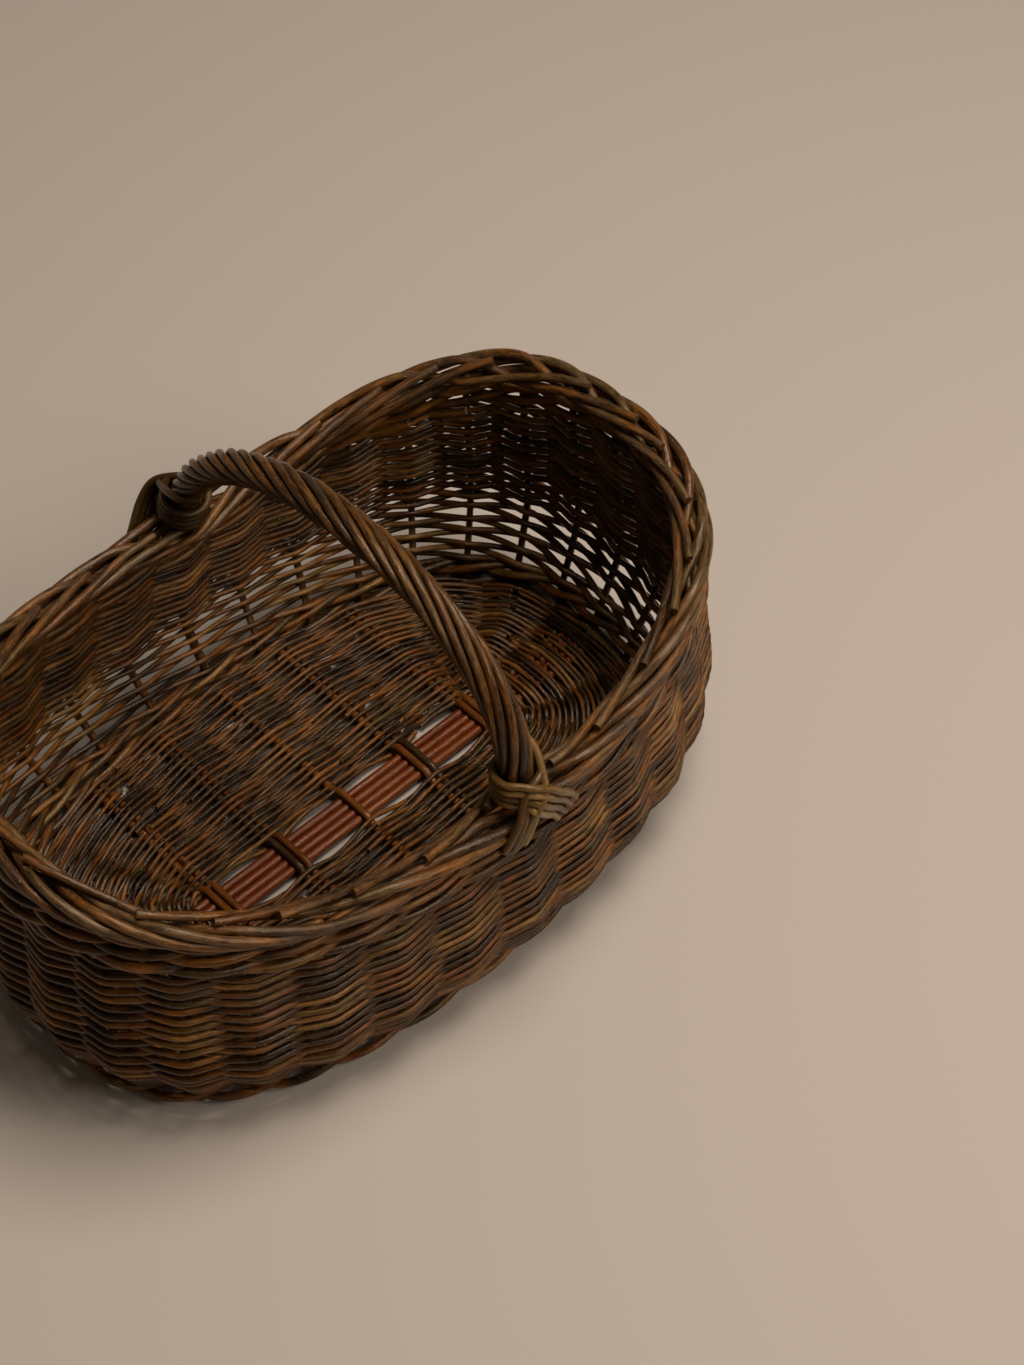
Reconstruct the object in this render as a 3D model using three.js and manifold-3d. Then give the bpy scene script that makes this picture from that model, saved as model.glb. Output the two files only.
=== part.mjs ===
// Oval willow basket with a roped handle, made the stake-and-strand way.
// Millimetres, +Z up. X runs along the basket, Y across it, along the span of the handle.
// The origin is under the middle of the rim, on the surface that the basket stands on.
import * as THREE from "three";
import { mergeVertices } from "three/addons/utils/BufferGeometryUtils.js";
import Module from "manifold-3d";

const wasm = await Module();
wasm.setup();

// Oval of the wall: the middle line that the uprights follow just below the border.
const RIM_HALF_LENGTH = 228;
const RIM_UNEVEN = 8; // the half towards -X is longer by this, and the other half is shorter
const RIM_HALF_WIDTH = 145.7;
const OVAL_POWER = 2.57; // 2 is an ellipse, more is squarer
const RIM_RISE = 45; // how much higher the rim is at the two ends

// Heights at the middle of the long sides, where the rim is lowest.
const UPSETT_TOP = 14;
const SWELL_HEIGHT = 50; // the wall is widest here
const OPEN_TOP = 80;
const RAND_TOP = 124;
const WALL_TOP = 145.8; // the uprights turn into the border here

// How far the wall is drawn in from the rim's oval at the foot and over the upsett,
// and how far it swells past that oval where it is widest.
const FOOT_TUCK = 10;
const UPSETT_TUCK = 8.3;
const SWELL = 11.7;

// Uprights stand at these places round the oval. Two of the places hold the legs of the handle.
const STATIONS = 32;
const END_CROWDING = 0.13; // uprights stand closer together round the two ends
const CLEARANCE = 0.35;

// Rods.
const STAKE_DIAMETER = 6.2;
const STAKE_TIP_SHARE = 0.84; // a stake thins to this share of its diameter at its tip
const STAKE_SIDES = 5;
const STAKE_FOOT = 3;
const WEAVER_DIAMETER = 4;
const WALE_DIAMETER = 4.8;
const OPEN_ROWS = 7;
const OPEN_ROW_CROWDING = 0.25; // rows of the open weave get closer towards its top
const OPEN_ROW_SHARE = 0.5; // share of its own height that a row fills where it passes an upright
const PINCH_SHARE = 0.55; // half the close weave's thickness between uprights, in rods
const EYE_LENGTH = 3; // an eye of the close weave is this many times as long as wide
const NARROW_EYE_ROOM = 1.06; // an eye with four sides is wider by this, so that its upright fits

// Rolled border. Each stake runs clockwise, seen from above, outside its neighbours, then goes
// in between them to the inner edge and climbs from there to its tip on the top. Steps are one
// upright apart.
const BORDER_LOOSENESS = 0.5;
const BORDER_STEPS = 4.6;
const BORDER_ROUTE = [
  [0, 0],
  [1.15, 0.35],
  [1.0, 1.4],
  [-1.3, 0.65],
  [-1.2, 1.9],
  [0.4, 2.75],
]; // outward and upward, in rod pitches
const BEND_SHARE = 0.12; // share of a step that the bend takes

// Base: long sticks through split cross sticks, in a woven oval.
const BASE_THICKNESS = 11; // over a stick
const BASE_DIP = 2.8; // the woven top sinks this much between sticks
const BASE_END_STEPS = 6; // ribs that the weave makes round an end, from side to side
const BASE_MID = 5.9;
const LONG_STICK_COUNT = 4;
const LONG_STICK_DIAMETER = 5.6;
const LONG_STICK_SIDES = 8;
const LONG_STICK_HALF_LENGTH = 190;
const CROSS_STICK_SIZE = 5.2;
const CROSS_STICK_SPACING = 51.7;
const CROSS_STICK_GROUPS = [2, 2, 1, 2, 2];
const CROSS_STICK_MARGIN = 9; // from a stick's end to the edge of the base
const SPLIT_SHELL = 2.1; // each half of a split cross stick over the long sticks
const STRIP_MARGIN = 5; // bare strip beside and past the sticks

// Handle: a bow with its legs down in the walls, roped with a layer of rods.
const LEG_END_DIAMETER = 6;
const LEG_DIAMETER = 8.8; // at the border
const LEG_INSET = 3; // the leg leans in this much as it passes the border
const BOW_DIAMETER = 10;
const BOW_SIDES = 6;
const HANDLE_HEIGHT = 276.6; // middle of the bow at its top
const HANDLE_FOOT_LIFT = 8; // the arch starts this far above the wall's top
const HANDLE_POWER = 2.1; // 2 is half an ellipse, more has squarer shoulders
const HANDLE_LEAN = 19; // the top of the arch is drawn this far towards -Y
const STRAND_COUNT = 9;
const STRAND_DIAMETER = 4.5;
const STRAND_SIDES = 5;
const STRAND_STEPS = 18;
const ROPE_TIGHT_PITCH = 105; // length of a full twist at the +Y foot
const ROPE_SLACK_PITCH = 280; // and at the -Y foot
const ROPE_START = 22; // above the wall's top

// Lashing: a flat band of rods round the handle's foot, crossed over the border.
const LASH_RODS = 4;
const LASH_ROD_DIAMETER = 4.7;
const LASH_HEIGHT = 30; // middle of the collar above the wall's top
const LASH_NARROW_SPREAD = 15; // from the handle to the foot of the steep leg
const LASH_WIDE_SPREAD = 25; // and to the foot of the slanting leg
const LASH_SHOULDER_UP = 18;
const LASH_SHOULDER_SHARE = 0.4; // of a leg's spread
const LASH_KNEE_UP = 8;
const LASH_KNEE_SHARE = 0.8;
const LASH_LEG_END = -8;
const LASH_TURN = 36; // degrees between the corners of the collar

const stakeRadius = STAKE_DIAMETER / 2;
const borderPitch = STAKE_DIAMETER + BORDER_LOOSENESS;
const waleTop = WALL_TOP - stakeRadius - 4 * CLEARANCE; // just under the border's rods
const bowStations = [STATIONS / 4, (3 * STATIONS) / 4];
const TUCKS = [
  [0, FOOT_TUCK],
  [UPSETT_TOP, UPSETT_TUCK],
  [SWELL_HEIGHT, -SWELL],
  [WALL_TOP, 0],
];

// The wall as a surface

function signedPower(value, power) {
  return Math.sign(value) * Math.abs(value) ** power;
}

function ovalShare(angle) {
  const power = 2 / OVAL_POWER;
  return [signedPower(Math.cos(angle), power), signedPower(Math.sin(angle), power)];
}

// Angles at even lengths round the rim's oval.
const ANGLE_SAMPLES = 2880;
const lengths = [0];
for (let k = 1, last = null; k <= ANGLE_SAMPLES; k += 1) {
  const [x, y] = ovalShare((2 * Math.PI * k) / ANGLE_SAMPLES);
  const point = new THREE.Vector2(x * RIM_HALF_LENGTH, y * RIM_HALF_WIDTH);
  last = last ?? new THREE.Vector2(RIM_HALF_LENGTH, 0);
  lengths.push(lengths[k - 1] + point.distanceTo(last));
  last = point;
}

function stationAngle(station) {
  const turn = station / STATIONS;
  const moved = turn - (END_CROWDING * Math.sin(4 * Math.PI * turn)) / (4 * Math.PI);
  const wanted = (moved - Math.floor(moved)) * lengths[ANGLE_SAMPLES];
  let low = 0;
  let high = ANGLE_SAMPLES;
  while (high - low > 1) {
    const mid = (low + high) >> 1;
    if (lengths[mid] <= wanted) low = mid;
    else high = mid;
  }
  const share = (wanted - lengths[low]) / (lengths[high] - lengths[low]);
  return (2 * Math.PI * (low + share)) / ANGLE_SAMPLES;
}

function tuckAt(height) {
  for (let k = 1; k < TUCKS.length; k += 1) {
    const [h0, t0] = TUCKS[k - 1];
    const [h1, t1] = TUCKS[k];
    if (height <= h1) return t0 + ((t1 - t0) * (height - h0)) / (h1 - h0);
  }
  return 0;
}

function halfLengthAt(side, height) {
  return RIM_HALF_LENGTH - Math.sign(side) * RIM_UNEVEN - tuckAt(height);
}

// A point of the wall: station round the oval, height at mid side, then offsets out and up.
function wall(station, height, out = 0, up = 0) {
  const [sx, sy] = ovalShare(stationAngle(station));
  const a = halfLengthAt(sx, height);
  const b = RIM_HALF_WIDTH - tuckAt(height);
  const nx = signedPower(sx, OVAL_POWER - 1) / a;
  const ny = signedPower(sy, OVAL_POWER - 1) / b;
  const size = Math.hypot(nx, ny);
  const z = height * (1 + (RIM_RISE / WALL_TOP) * sx * sx) + up;
  return new THREE.Vector3(a * sx + (out * nx) / size, b * sy + (out * ny) / size, z);
}

function stationLength(station) {
  return wall(station - 0.5, WALL_TOP).distanceTo(wall(station + 0.5, WALL_TOP));
}

// Mesh helpers

function meshFrom(points, faces) {
  const geometry = new THREE.BufferGeometry();
  const flat = points.flatMap((point) => [point.x, point.y, point.z]);
  geometry.setAttribute("position", new THREE.Float32BufferAttribute(flat, 3));
  geometry.setIndex(faces.flat());
  return geometry;
}

function quad(faces, a, b, c, d) {
  faces.push([a, b, c], [a, c, d]);
}

// Skin over a row of equal sections. Sections run round their path by the right hand.
function loft(sections, closed = false) {
  const points = sections.flat();
  const faces = [];
  const sides = sections[0].length;
  const spans = closed ? sections.length : sections.length - 1;
  for (let k = 0; k < spans; k += 1) {
    const next = (k + 1) % sections.length;
    for (let j = 0; j < sides; j += 1) {
      const side = (j + 1) % sides;
      quad(faces, k * sides + j, k * sides + side, next * sides + side, next * sides + j);
    }
  }
  if (!closed) {
    const last = (sections.length - 1) * sides;
    for (let j = 1; j < sides - 1; j += 1) {
      faces.push([0, j + 1, j], [last, last + j, last + j + 1]);
    }
  }
  return meshFrom(points, faces);
}

// Round rod along points. `facing` gives, for each point, the way its first corner looks.
function rod(path, radii, sides, facing) {
  const sections = path.map((point, k) => {
    const before = path[Math.max(k - 1, 0)];
    const after = path[Math.min(k + 1, path.length - 1)];
    const into = point.clone().sub(before).normalize();
    const onward = after.clone().sub(point).normalize();
    const along = into.clone().add(onward).normalize();
    const across = facing(k).clone();
    across.addScaledVector(along, -across.dot(along)).normalize();
    const third = along.clone().cross(across);
    const section = [];
    for (let j = 0; j < sides; j += 1) {
      const angle = (2 * Math.PI * j) / sides;
      const corner = point.clone().addScaledVector(across, radii[k] * Math.cos(angle));
      section.push(corner.addScaledVector(third, radii[k] * Math.sin(angle)));
    }
    return section;
  });
  return loft(sections);
}

const WELD_DISTANCE = 1e-4;

function solidOf(geometry) {
  const bare = geometry.clone();
  bare.deleteAttribute("normal");
  bare.deleteAttribute("uv");
  const merged = mergeVertices(bare, WELD_DISTANCE);
  const vertProperties = new Float32Array(merged.attributes.position.array);
  const triVerts = new Uint32Array(merged.index.array);
  return new wasm.Manifold(new wasm.Mesh({ numProp: 3, vertProperties, triVerts }));
}

function geometryOf(solid) {
  const mesh = solid.getMesh();
  const geometry = new THREE.BufferGeometry();
  geometry.setAttribute("position", new THREE.BufferAttribute(mesh.vertProperties, 3));
  geometry.setIndex(new THREE.BufferAttribute(mesh.triVerts, 1));
  return geometry;
}

function boxAt(sx, sy, sz, x, y, z) {
  return new THREE.BoxGeometry(sx, sy, sz).translate(x, y, z);
}

// Looks

const looks = {
  weaver: { color: 0x4a3524, roughness: 0.72, metalness: 0 },
  stake: { color: 0x523322, roughness: 0.6, metalness: 0 },
  baseStick: { color: 0x8a4a2a, roughness: 0.45, metalness: 0 },
  crossStick: { color: 0x6b3a16, roughness: 0.45, metalness: 0 },
  rope: { color: 0x55402c, roughness: 0.62, metalness: 0 },
  lashing: { color: 0x8a6f42, roughness: 0.5, metalness: 0 },
};

const basket = new THREE.Group();

function add(name, geometry, look) {
  const mesh = new THREE.Mesh(geometry, new THREE.MeshStandardMaterial(looks[look]));
  mesh.name = name;
  basket.add(mesh);
  return mesh;
}

function numbered(name, number) {
  return `${name}_${String(number).padStart(2, "0")}`;
}

// Handle's middle line, needed by the wall and the border as well

const footHeight = WALL_TOP + HANDLE_FOOT_LIFT;
const archHalfSpan = RIM_HALF_WIDTH - LEG_INSET;
const archRise = HANDLE_HEIGHT - footHeight;

function archPoint(angle) {
  const y = archHalfSpan * signedPower(Math.cos(angle), 2 / HANDLE_POWER);
  const z = footHeight + archRise * Math.abs(Math.sin(angle)) ** (2 / HANDLE_POWER);
  return new THREE.Vector3(0, y - HANDLE_LEAN * Math.sin(angle), z);
}

function archAngleAt(height) {
  return Math.asin(((height - footHeight) / archRise) ** (HANDLE_POWER / 2));
}

// A point of the arch at this height, on the +Y side (1) or the -Y side (-1).
function archAt(height, side) {
  const angle = archAngleAt(height);
  return archPoint(side > 0 ? angle : Math.PI - angle);
}

function legRadius(height) {
  const share = (height - UPSETT_TOP) / (WALL_TOP - UPSETT_TOP);
  return (LEG_END_DIAMETER + (LEG_DIAMETER - LEG_END_DIAMETER) * Math.min(share, 1)) / 2;
}

function uprightRadius(station, height) {
  return bowStations.includes(station) ? legRadius(height) : stakeRadius;
}

// Base

for (let k = 0; k < LONG_STICK_COUNT; k += 1) {
  const pitch = LONG_STICK_DIAMETER + CLEARANCE;
  const stick = new THREE.CylinderGeometry(
    LONG_STICK_DIAMETER / 2,
    LONG_STICK_DIAMETER / 2,
    2 * LONG_STICK_HALF_LENGTH,
    LONG_STICK_SIDES,
  );
  const mesh = add(`base_long_stick_${k + 1}`, stick, "baseStick");
  mesh.rotation.z = Math.PI / 2;
  mesh.position.set(0, (k - (LONG_STICK_COUNT - 1) / 2) * pitch, BASE_MID);
}

const bundleHalfWidth =
  (LONG_STICK_COUNT * LONG_STICK_DIAMETER + (LONG_STICK_COUNT - 1) * CLEARANCE) / 2;
const slitHalfWidth = bundleHalfWidth + CLEARANCE;
const slitHalfHeight = LONG_STICK_DIAMETER / 2 + CLEARANCE;
const shellHalfHeight = slitHalfHeight + SPLIT_SHELL;
const splitHalfWidth = slitHalfWidth + SPLIT_SHELL;
const stripHalfWidth = splitHalfWidth + STRIP_MARGIN;
const crossPitch = CROSS_STICK_SIZE + CLEARANCE;
const crossHalfSpan =
  ((CROSS_STICK_GROUPS.length - 1) * CROSS_STICK_SPACING + crossPitch + CROSS_STICK_SIZE) / 2;
const stripHalfLength = crossHalfSpan + STRIP_MARGIN;

function baseHalfWidthAt(x, height = 0, inset = 0) {
  const a = halfLengthAt(x, height) - inset;
  const b = RIM_HALF_WIDTH - tuckAt(height) - inset;
  return b * (1 - Math.abs(x / a) ** OVAL_POWER) ** (1 / OVAL_POWER);
}

// A cross stick is split in the middle, and its two halves bow round the long sticks.
function crossStick(halfLength) {
  const half = CROSS_STICK_SIZE / 2;
  const outline = [
    [-halfLength, -half],
    [-stripHalfWidth, -half],
    [-slitHalfWidth, -shellHalfHeight],
    [slitHalfWidth, -shellHalfHeight],
    [stripHalfWidth, -half],
    [halfLength, -half],
    [halfLength, half],
    [stripHalfWidth, half],
    [slitHalfWidth, shellHalfHeight],
    [-slitHalfWidth, shellHalfHeight],
    [-stripHalfWidth, half],
    [-halfLength, half],
  ].map(([y, z]) => new THREE.Vector2(y, z));
  const slit = [
    [-splitHalfWidth, 0],
    [-slitHalfWidth, slitHalfHeight],
    [slitHalfWidth, slitHalfHeight],
    [splitHalfWidth, 0],
    [slitHalfWidth, -slitHalfHeight],
    [-slitHalfWidth, -slitHalfHeight],
  ].map(([y, z]) => new THREE.Vector2(y, z));
  const shape = new THREE.Shape(outline);
  shape.holes.push(new THREE.Path(slit));
  const options = { depth: CROSS_STICK_SIZE, bevelEnabled: false };
  const geometry = new THREE.ExtrudeGeometry(shape, options);
  return geometry.translate(0, 0, -CROSS_STICK_SIZE / 2);
}

const tunnels = [];
let crossNumber = 0;
CROSS_STICK_GROUPS.forEach((count, group) => {
  const middle = (group - (CROSS_STICK_GROUPS.length - 1) / 2) * CROSS_STICK_SPACING;
  for (let k = 0; k < count; k += 1) {
    const x = middle + (k - (count - 1) / 2) * crossPitch;
    const halfLength = baseHalfWidthAt(x) - CROSS_STICK_MARGIN;
    crossNumber += 1;
    const mesh = add(`base_cross_stick_${crossNumber}`, crossStick(halfLength), "crossStick");
    mesh.rotation.set(Math.PI / 2, Math.PI / 2, 0);
    mesh.position.set(x, 0, BASE_MID);
    const wide = CROSS_STICK_SIZE + 2 * CLEARANCE;
    tunnels.push(boxAt(wide, 2 * (halfLength + CLEARANCE), wide, x, 0, BASE_MID));
  }
});
tunnels.push(
  boxAt(
    2 * (LONG_STICK_HALF_LENGTH + CLEARANCE),
    2 * slitHalfWidth,
    2 * slitHalfHeight,
    0,
    0,
    BASE_MID,
  ),
);

// The woven oval fills out to the feet of the stakes, and its edge leans out with them. Its top
// rises over the sticks and dips between them. A section runs from the bare strip to that edge.
const lastCross = ((CROSS_STICK_GROUPS.length - 1) / 2) * CROSS_STICK_SPACING;
const edgeInset = stakeRadius + CLEARANCE;

function wovenSection(inner, innerTop, outerTop, edgeAt) {
  const place = ([x, y], z) => new THREE.Vector3(x, y, z);
  const leanOf = (z) => z / (1 + RIM_RISE / WALL_TOP);
  return [
    place(inner, 0),
    place(inner, innerTop),
    place(edgeAt(leanOf(outerTop)), outerTop),
    place(edgeAt(0), 0),
  ];
}

function wovenSide(side) {
  const sections = [];
  const steps = 2 * (CROSS_STICK_GROUPS.length - 1);
  for (let k = 0; k <= steps; k += 1) {
    const x = side * lastCross * (1 - (2 * k) / steps);
    const top = BASE_THICKNESS - (k % 2) * BASE_DIP;
    const innerX = k % steps === 0 ? Math.sign(x) * stripHalfLength : x;
    const edgeAt = (height) => [x, side * baseHalfWidthAt(x, height, edgeInset)];
    sections.push(wovenSection([innerX, side * stripHalfWidth], top, top, edgeAt));
  }
  return sections;
}

// Round the end that is reached after going along this side.
function wovenEnd(side) {
  const sections = [];
  for (let k = 1; k < 2 * BASE_END_STEPS; k += 1) {
    const share = 1 - k / BASE_END_STEPS;
    const outerTop = BASE_THICKNESS - (k % 2) * BASE_DIP;
    const edgeAt = (height) => {
      const a = halfLengthAt(-side, height) - edgeInset;
      const b = RIM_HALF_WIDTH - tuckAt(height) - edgeInset;
      const angle = share * Math.acos((lastCross / a) ** (OVAL_POWER / 2));
      const [sx, sy] = ovalShare(angle);
      return [-side * a * sx, side * b * sy];
    };
    const inner = [-side * stripHalfLength, side * share * stripHalfWidth];
    sections.push(wovenSection(inner, BASE_THICKNESS, outerTop, edgeAt));
  }
  return sections;
}

const wovenRound = [1, -1].flatMap((side) => [...wovenSide(side), ...wovenEnd(side)]);
let woven = solidOf(loft(wovenRound, true));
for (const tunnel of tunnels) {
  woven = woven.subtract(solidOf(tunnel));
}
add("base_weave", geometryOf(woven), "weaver");

// Stakes: up through the wall, then down into the border

const borderCurve = new THREE.CatmullRomCurve3(
  BORDER_ROUTE.map(([out, up]) => new THREE.Vector3(out * borderPitch, up * borderPitch, 0)),
  false,
  "catmullrom",
  0.5,
);

// The border's rods part to let a leg of the handle through.
const partRoom = LEG_DIAMETER / 2 + stakeRadius + 4 * CLEARANCE;
const outerOut = BORDER_ROUTE[2][0] * borderPitch;
const innerOut = BORDER_ROUTE[4][0] * borderPitch;
const innerShift = Math.max(partRoom + innerOut + LEG_INSET, 0);
const outerShift = Math.max(partRoom - outerOut - LEG_INSET, 0);

function legShift(station, out) {
  let shift = 0;
  for (const bow of bowStations) {
    const away = Math.abs(station - bow);
    const near = Math.max(0, 1 - Math.min(away, STATIONS - away));
    shift += near * (out < 0 ? -innerShift : outerShift);
  }
  return shift;
}

function borderPoint(station, step) {
  const place = borderCurve.getPoint(step / (BORDER_ROUTE.length - 1));
  const at = station - step;
  return wall(at, WALL_TOP, place.x + legShift(at, place.x), place.y);
}

// How far the border's rods stick out, this share of a step away from a leg of the handle.
function borderReach(away) {
  const reaches = [1, 2].map((step) => {
    const out = borderCurve.getPoint(step / (BORDER_ROUTE.length - 1)).x;
    return out + legShift(bowStations[0] + away, out) + stakeRadius;
  });
  return Math.max(...reaches);
}

function stake(station) {
  const path = [
    wall(station, STAKE_FOOT),
    wall(station, UPSETT_TOP),
    wall(station, SWELL_HEIGHT),
    wall(station, waleTop),
    wall(station - BEND_SHARE, WALL_TOP),
  ];
  const bend = path.length - 1;
  for (let step = 1; step <= BORDER_STEPS; step += 1) {
    path.push(borderPoint(station, step));
  }
  path.push(borderPoint(station, BORDER_STEPS));
  const thinning = (1 - STAKE_TIP_SHARE) / (path.length - 1 - bend);
  const radii = path.map((_, k) => stakeRadius * (1 - Math.max(0, k - bend) * thinning));
  const middle = wall(station, WALL_TOP);
  const outward = wall(station, WALL_TOP, 1).sub(middle);
  const facing = (k) => {
    if (k <= bend) return outward;
    const at = station - Math.min(k - bend, BORDER_STEPS);
    return wall(at, WALL_TOP, 1).sub(wall(at, WALL_TOP));
  };
  return rod(path, radii, STAKE_SIDES, facing);
}

let stakeNumber = 0;
for (let station = 0; station < STATIONS; station += 1) {
  if (bowStations.includes(station)) continue;
  stakeNumber += 1;
  add(numbered("stake", stakeNumber), stake(station), "stake");
}

// Upsett: the thick rods that turn the stakes up, lying outside them and in between them

function upsett() {
  const low = CLEARANCE;
  const high = UPSETT_TOP - CLEARANCE;
  const sections = [];
  for (let k = 0; k < 2 * STATIONS; k += 1) {
    const atStake = k % 2 === 0;
    const inside = atStake ? stakeRadius + 2 * CLEARANCE : CLEARANCE - stakeRadius;
    const outside = inside + (atStake ? WALE_DIAMETER : stakeRadius + WALE_DIAMETER / 2);
    sections.push([
      wall(k / 2, low, inside),
      wall(k / 2, high, inside),
      wall(k / 2, high, outside),
      wall(k / 2, low, outside),
    ]);
  }
  return loft(sections, true);
}
add("upsett_wale", upsett(), "weaver");

// Open weave: rods that climb from one upright to the next. At an upright every other rod is
// outside, at the same heights all round, and the rods meet between the uprights.

function openWeave() {
  const low = UPSETT_TOP;
  const high = OPEN_TOP - CLEARANCE;
  const levels = [];
  for (let level = 0; level <= OPEN_ROWS; level += 1) {
    const share = level / OPEN_ROWS;
    levels.push(low + (high - low) * (share + OPEN_ROW_CROWDING * share * (1 - share)));
  }
  const half = WEAVER_DIAMETER / 2;
  const points = [];
  const faces = [];
  const perStation = 4 * (OPEN_ROWS + 1) + 4 * OPEN_ROWS;
  const knot = (station, side, level, face) =>
    (station % STATIONS) * perStation + 4 * level + 2 * side + face;
  const pass = (station, row, corner) =>
    (station % STATIONS) * perStation + 4 * (OPEN_ROWS + 1) + 4 * row + corner;
  for (let station = 0; station < STATIONS; station += 1) {
    const between = station - 0.5;
    const knotShare = half / stationLength(between);
    for (let level = 0; level <= OPEN_ROWS; level += 1) {
      for (const side of [-1, 1]) {
        const height = levels[level];
        points.push(wall(between + side * knotShare, height, half));
        points.push(wall(between + side * knotShare, height, -half));
      }
    }
    for (let row = 0; row < OPEN_ROWS; row += 1) {
      const middle = (levels[row] + levels[row + 1]) / 2;
      const rise = OPEN_ROW_SHARE * (levels[row + 1] - levels[row]);
      const reach = uprightRadius(station, OPEN_TOP) + 1.5 * CLEARANCE + half;
      const out = row % 2 === 0 ? reach : -reach;
      for (const [face, edge] of [[1, -1], [-1, -1], [1, 1], [-1, 1]]) {
        const height = middle + (edge * rise) / 2;
        points.push(wall(station, height, out + face * half));
      }
    }
  }
  for (let station = 0; station < STATIONS; station += 1) {
    for (let row = 0; row < OPEN_ROWS; row += 1) {
      const start = [0, 1].map((up) => [0, 1].map((face) => knot(station, 1, row + up, face)));
      const mid = [0, 1].map((up) => [0, 1].map((face) => pass(station, row, 2 * up + face)));
      const end = [0, 1].map((up) => [0, 1].map((face) => knot(station + 1, 0, row + up, face)));
      for (const [a, b] of [[start, mid], [mid, end]]) {
        quad(faces, a[0][0], b[0][0], b[1][0], a[1][0]);
        quad(faces, b[0][1], a[0][1], a[1][1], b[1][1]);
        quad(faces, a[1][0], b[1][0], b[1][1], a[1][1]);
        quad(faces, b[0][0], a[0][0], a[0][1], b[0][1]);
      }
      const [l0, l1] = [row, row + 1];
      quad(
        faces,
        knot(station, 0, l0, 0),
        knot(station, 1, l0, 0),
        knot(station, 1, l1, 0),
        knot(station, 0, l1, 0),
      );
      quad(
        faces,
        knot(station, 1, l0, 1),
        knot(station, 0, l0, 1),
        knot(station, 0, l1, 1),
        knot(station, 1, l1, 1),
      );
    }
    const top = OPEN_ROWS;
    quad(
      faces,
      knot(station, 0, top, 0),
      knot(station, 1, top, 0),
      knot(station, 1, top, 1),
      knot(station, 0, top, 1),
    );
    quad(
      faces,
      knot(station, 1, 0, 0),
      knot(station, 0, 0, 0),
      knot(station, 0, 0, 1),
      knot(station, 1, 0, 1),
    );
  }
  return meshFrom(points, faces);
}
add("open_weave", openWeave(), "weaver");

// Close weave: a chain of eyes, swelling round each upright and drawn together in between.
// An eye's sides turn at the given places, counted from the upright in eye half-widths.

function eyeBand(low, high, rodDiameter, turns) {
  const points = [];
  const faces = [];
  const count = turns.length;
  const roomShare = count === 1 ? NARROW_EYE_ROOM : 1;
  for (const height of [low, high]) {
    for (let station = 0; station < STATIONS; station += 1) {
      const length = stationLength(station);
      const half = uprightRadius(station, high) + CLEARANCE;
      const room = half * roomShare;
      const pinch = rodDiameter * PINCH_SHARE;
      const put = (along, out) => points.push(wall(station + along, height, out));
      const row = (out) => turns.forEach((turn) => put((turn * half) / length, out));
      put(-0.5, pinch);
      row(room + rodDiameter);
      put(-0.5, -pinch);
      row(-room - rodDiameter);
      put((-EYE_LENGTH * half) / length, 0);
      row(room);
      put((EYE_LENGTH * half) / length, 0);
      row(-room);
    }
  }
  const corners = 4 * (count + 1);
  for (let station = 0; station < STATIONS; station += 1) {
    const next = (station + 1) % STATIONS;
    const chain = (first, start, end) => {
      const middle = turns.map((_, k) => station * corners + first + k);
      return [start, ...middle, end];
    };
    const at = (k) => station * corners + k * (count + 1);
    const on = (k) => next * corners + k * (count + 1);
    const outer = chain(1, at(0), on(0));
    const inner = chain(count + 2, at(1), on(1));
    const eyeOuter = chain(2 * count + 3, at(2), at(3));
    const eyeInner = chain(3 * count + 4, at(2), at(3));
    const rise = STATIONS * corners;
    const side = (a, b) => quad(faces, a, b, b + rise, a + rise);
    const cap = (a, b, c, d) => {
      quad(faces, a + rise, b + rise, c + rise, d + rise);
      quad(faces, d, c, b, a);
    };
    for (let k = 0; k <= count; k += 1) {
      side(outer[k], outer[k + 1]);
      side(inner[k + 1], inner[k]);
      side(eyeOuter[k + 1], eyeOuter[k]);
      side(eyeInner[k], eyeInner[k + 1]);
      cap(outer[k], outer[k + 1], eyeOuter[k + 1], eyeOuter[k]);
      cap(eyeInner[k], eyeInner[k + 1], inner[k + 1], inner[k]);
    }
    cap(on(0), on(2), on(1), at(3));
  }
  return meshFrom(points, faces);
}
add("side_rand", eyeBand(OPEN_TOP, RAND_TOP - CLEARANCE, WEAVER_DIAMETER, [-1, 1]), "weaver");
add("top_wale", eyeBand(RAND_TOP, waleTop, WALE_DIAMETER, [0]), "weaver");

// Handle

const ropeFoot = WALL_TOP + ROPE_START;
const firstAngle = archAngleAt(ropeFoot);
const archLine = [];
const ARCH_SAMPLES = 720;
for (let k = 0; k <= ARCH_SAMPLES; k += 1) {
  archLine.push(archPoint(firstAngle + ((Math.PI - 2 * firstAngle) * k) / ARCH_SAMPLES));
}
const archLengths = new THREE.CatmullRomCurve3(archLine);
archLengths.arcLengthDivisions = 2 * ARCH_SAMPLES;
const ropeLength = archLengths.getLength();
const tightTwist = 1 / ROPE_TIGHT_PITCH;
const slackTwist = 1 / ROPE_SLACK_PITCH;
const twistLoss = (tightTwist - slackTwist) / ropeLength;
const ropeTurns = ((tightTwist + slackTwist) / 2) * ropeLength;

// The rope's middle line, with its points an even part of a turn apart.
const ropeLine = [];
for (let k = 0; k <= STRAND_STEPS; k += 1) {
  const turns = (ropeTurns * k) / STRAND_STEPS;
  const gone = (tightTwist - Math.sqrt(tightTwist ** 2 - 2 * twistLoss * turns)) / twistLoss;
  ropeLine.push(archLengths.getPointAt(Math.min(gone / ropeLength, 1)));
}
const across = new THREE.Vector3(1, 0, 0);
const bowRadius = BOW_DIAMETER / 2;

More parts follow.
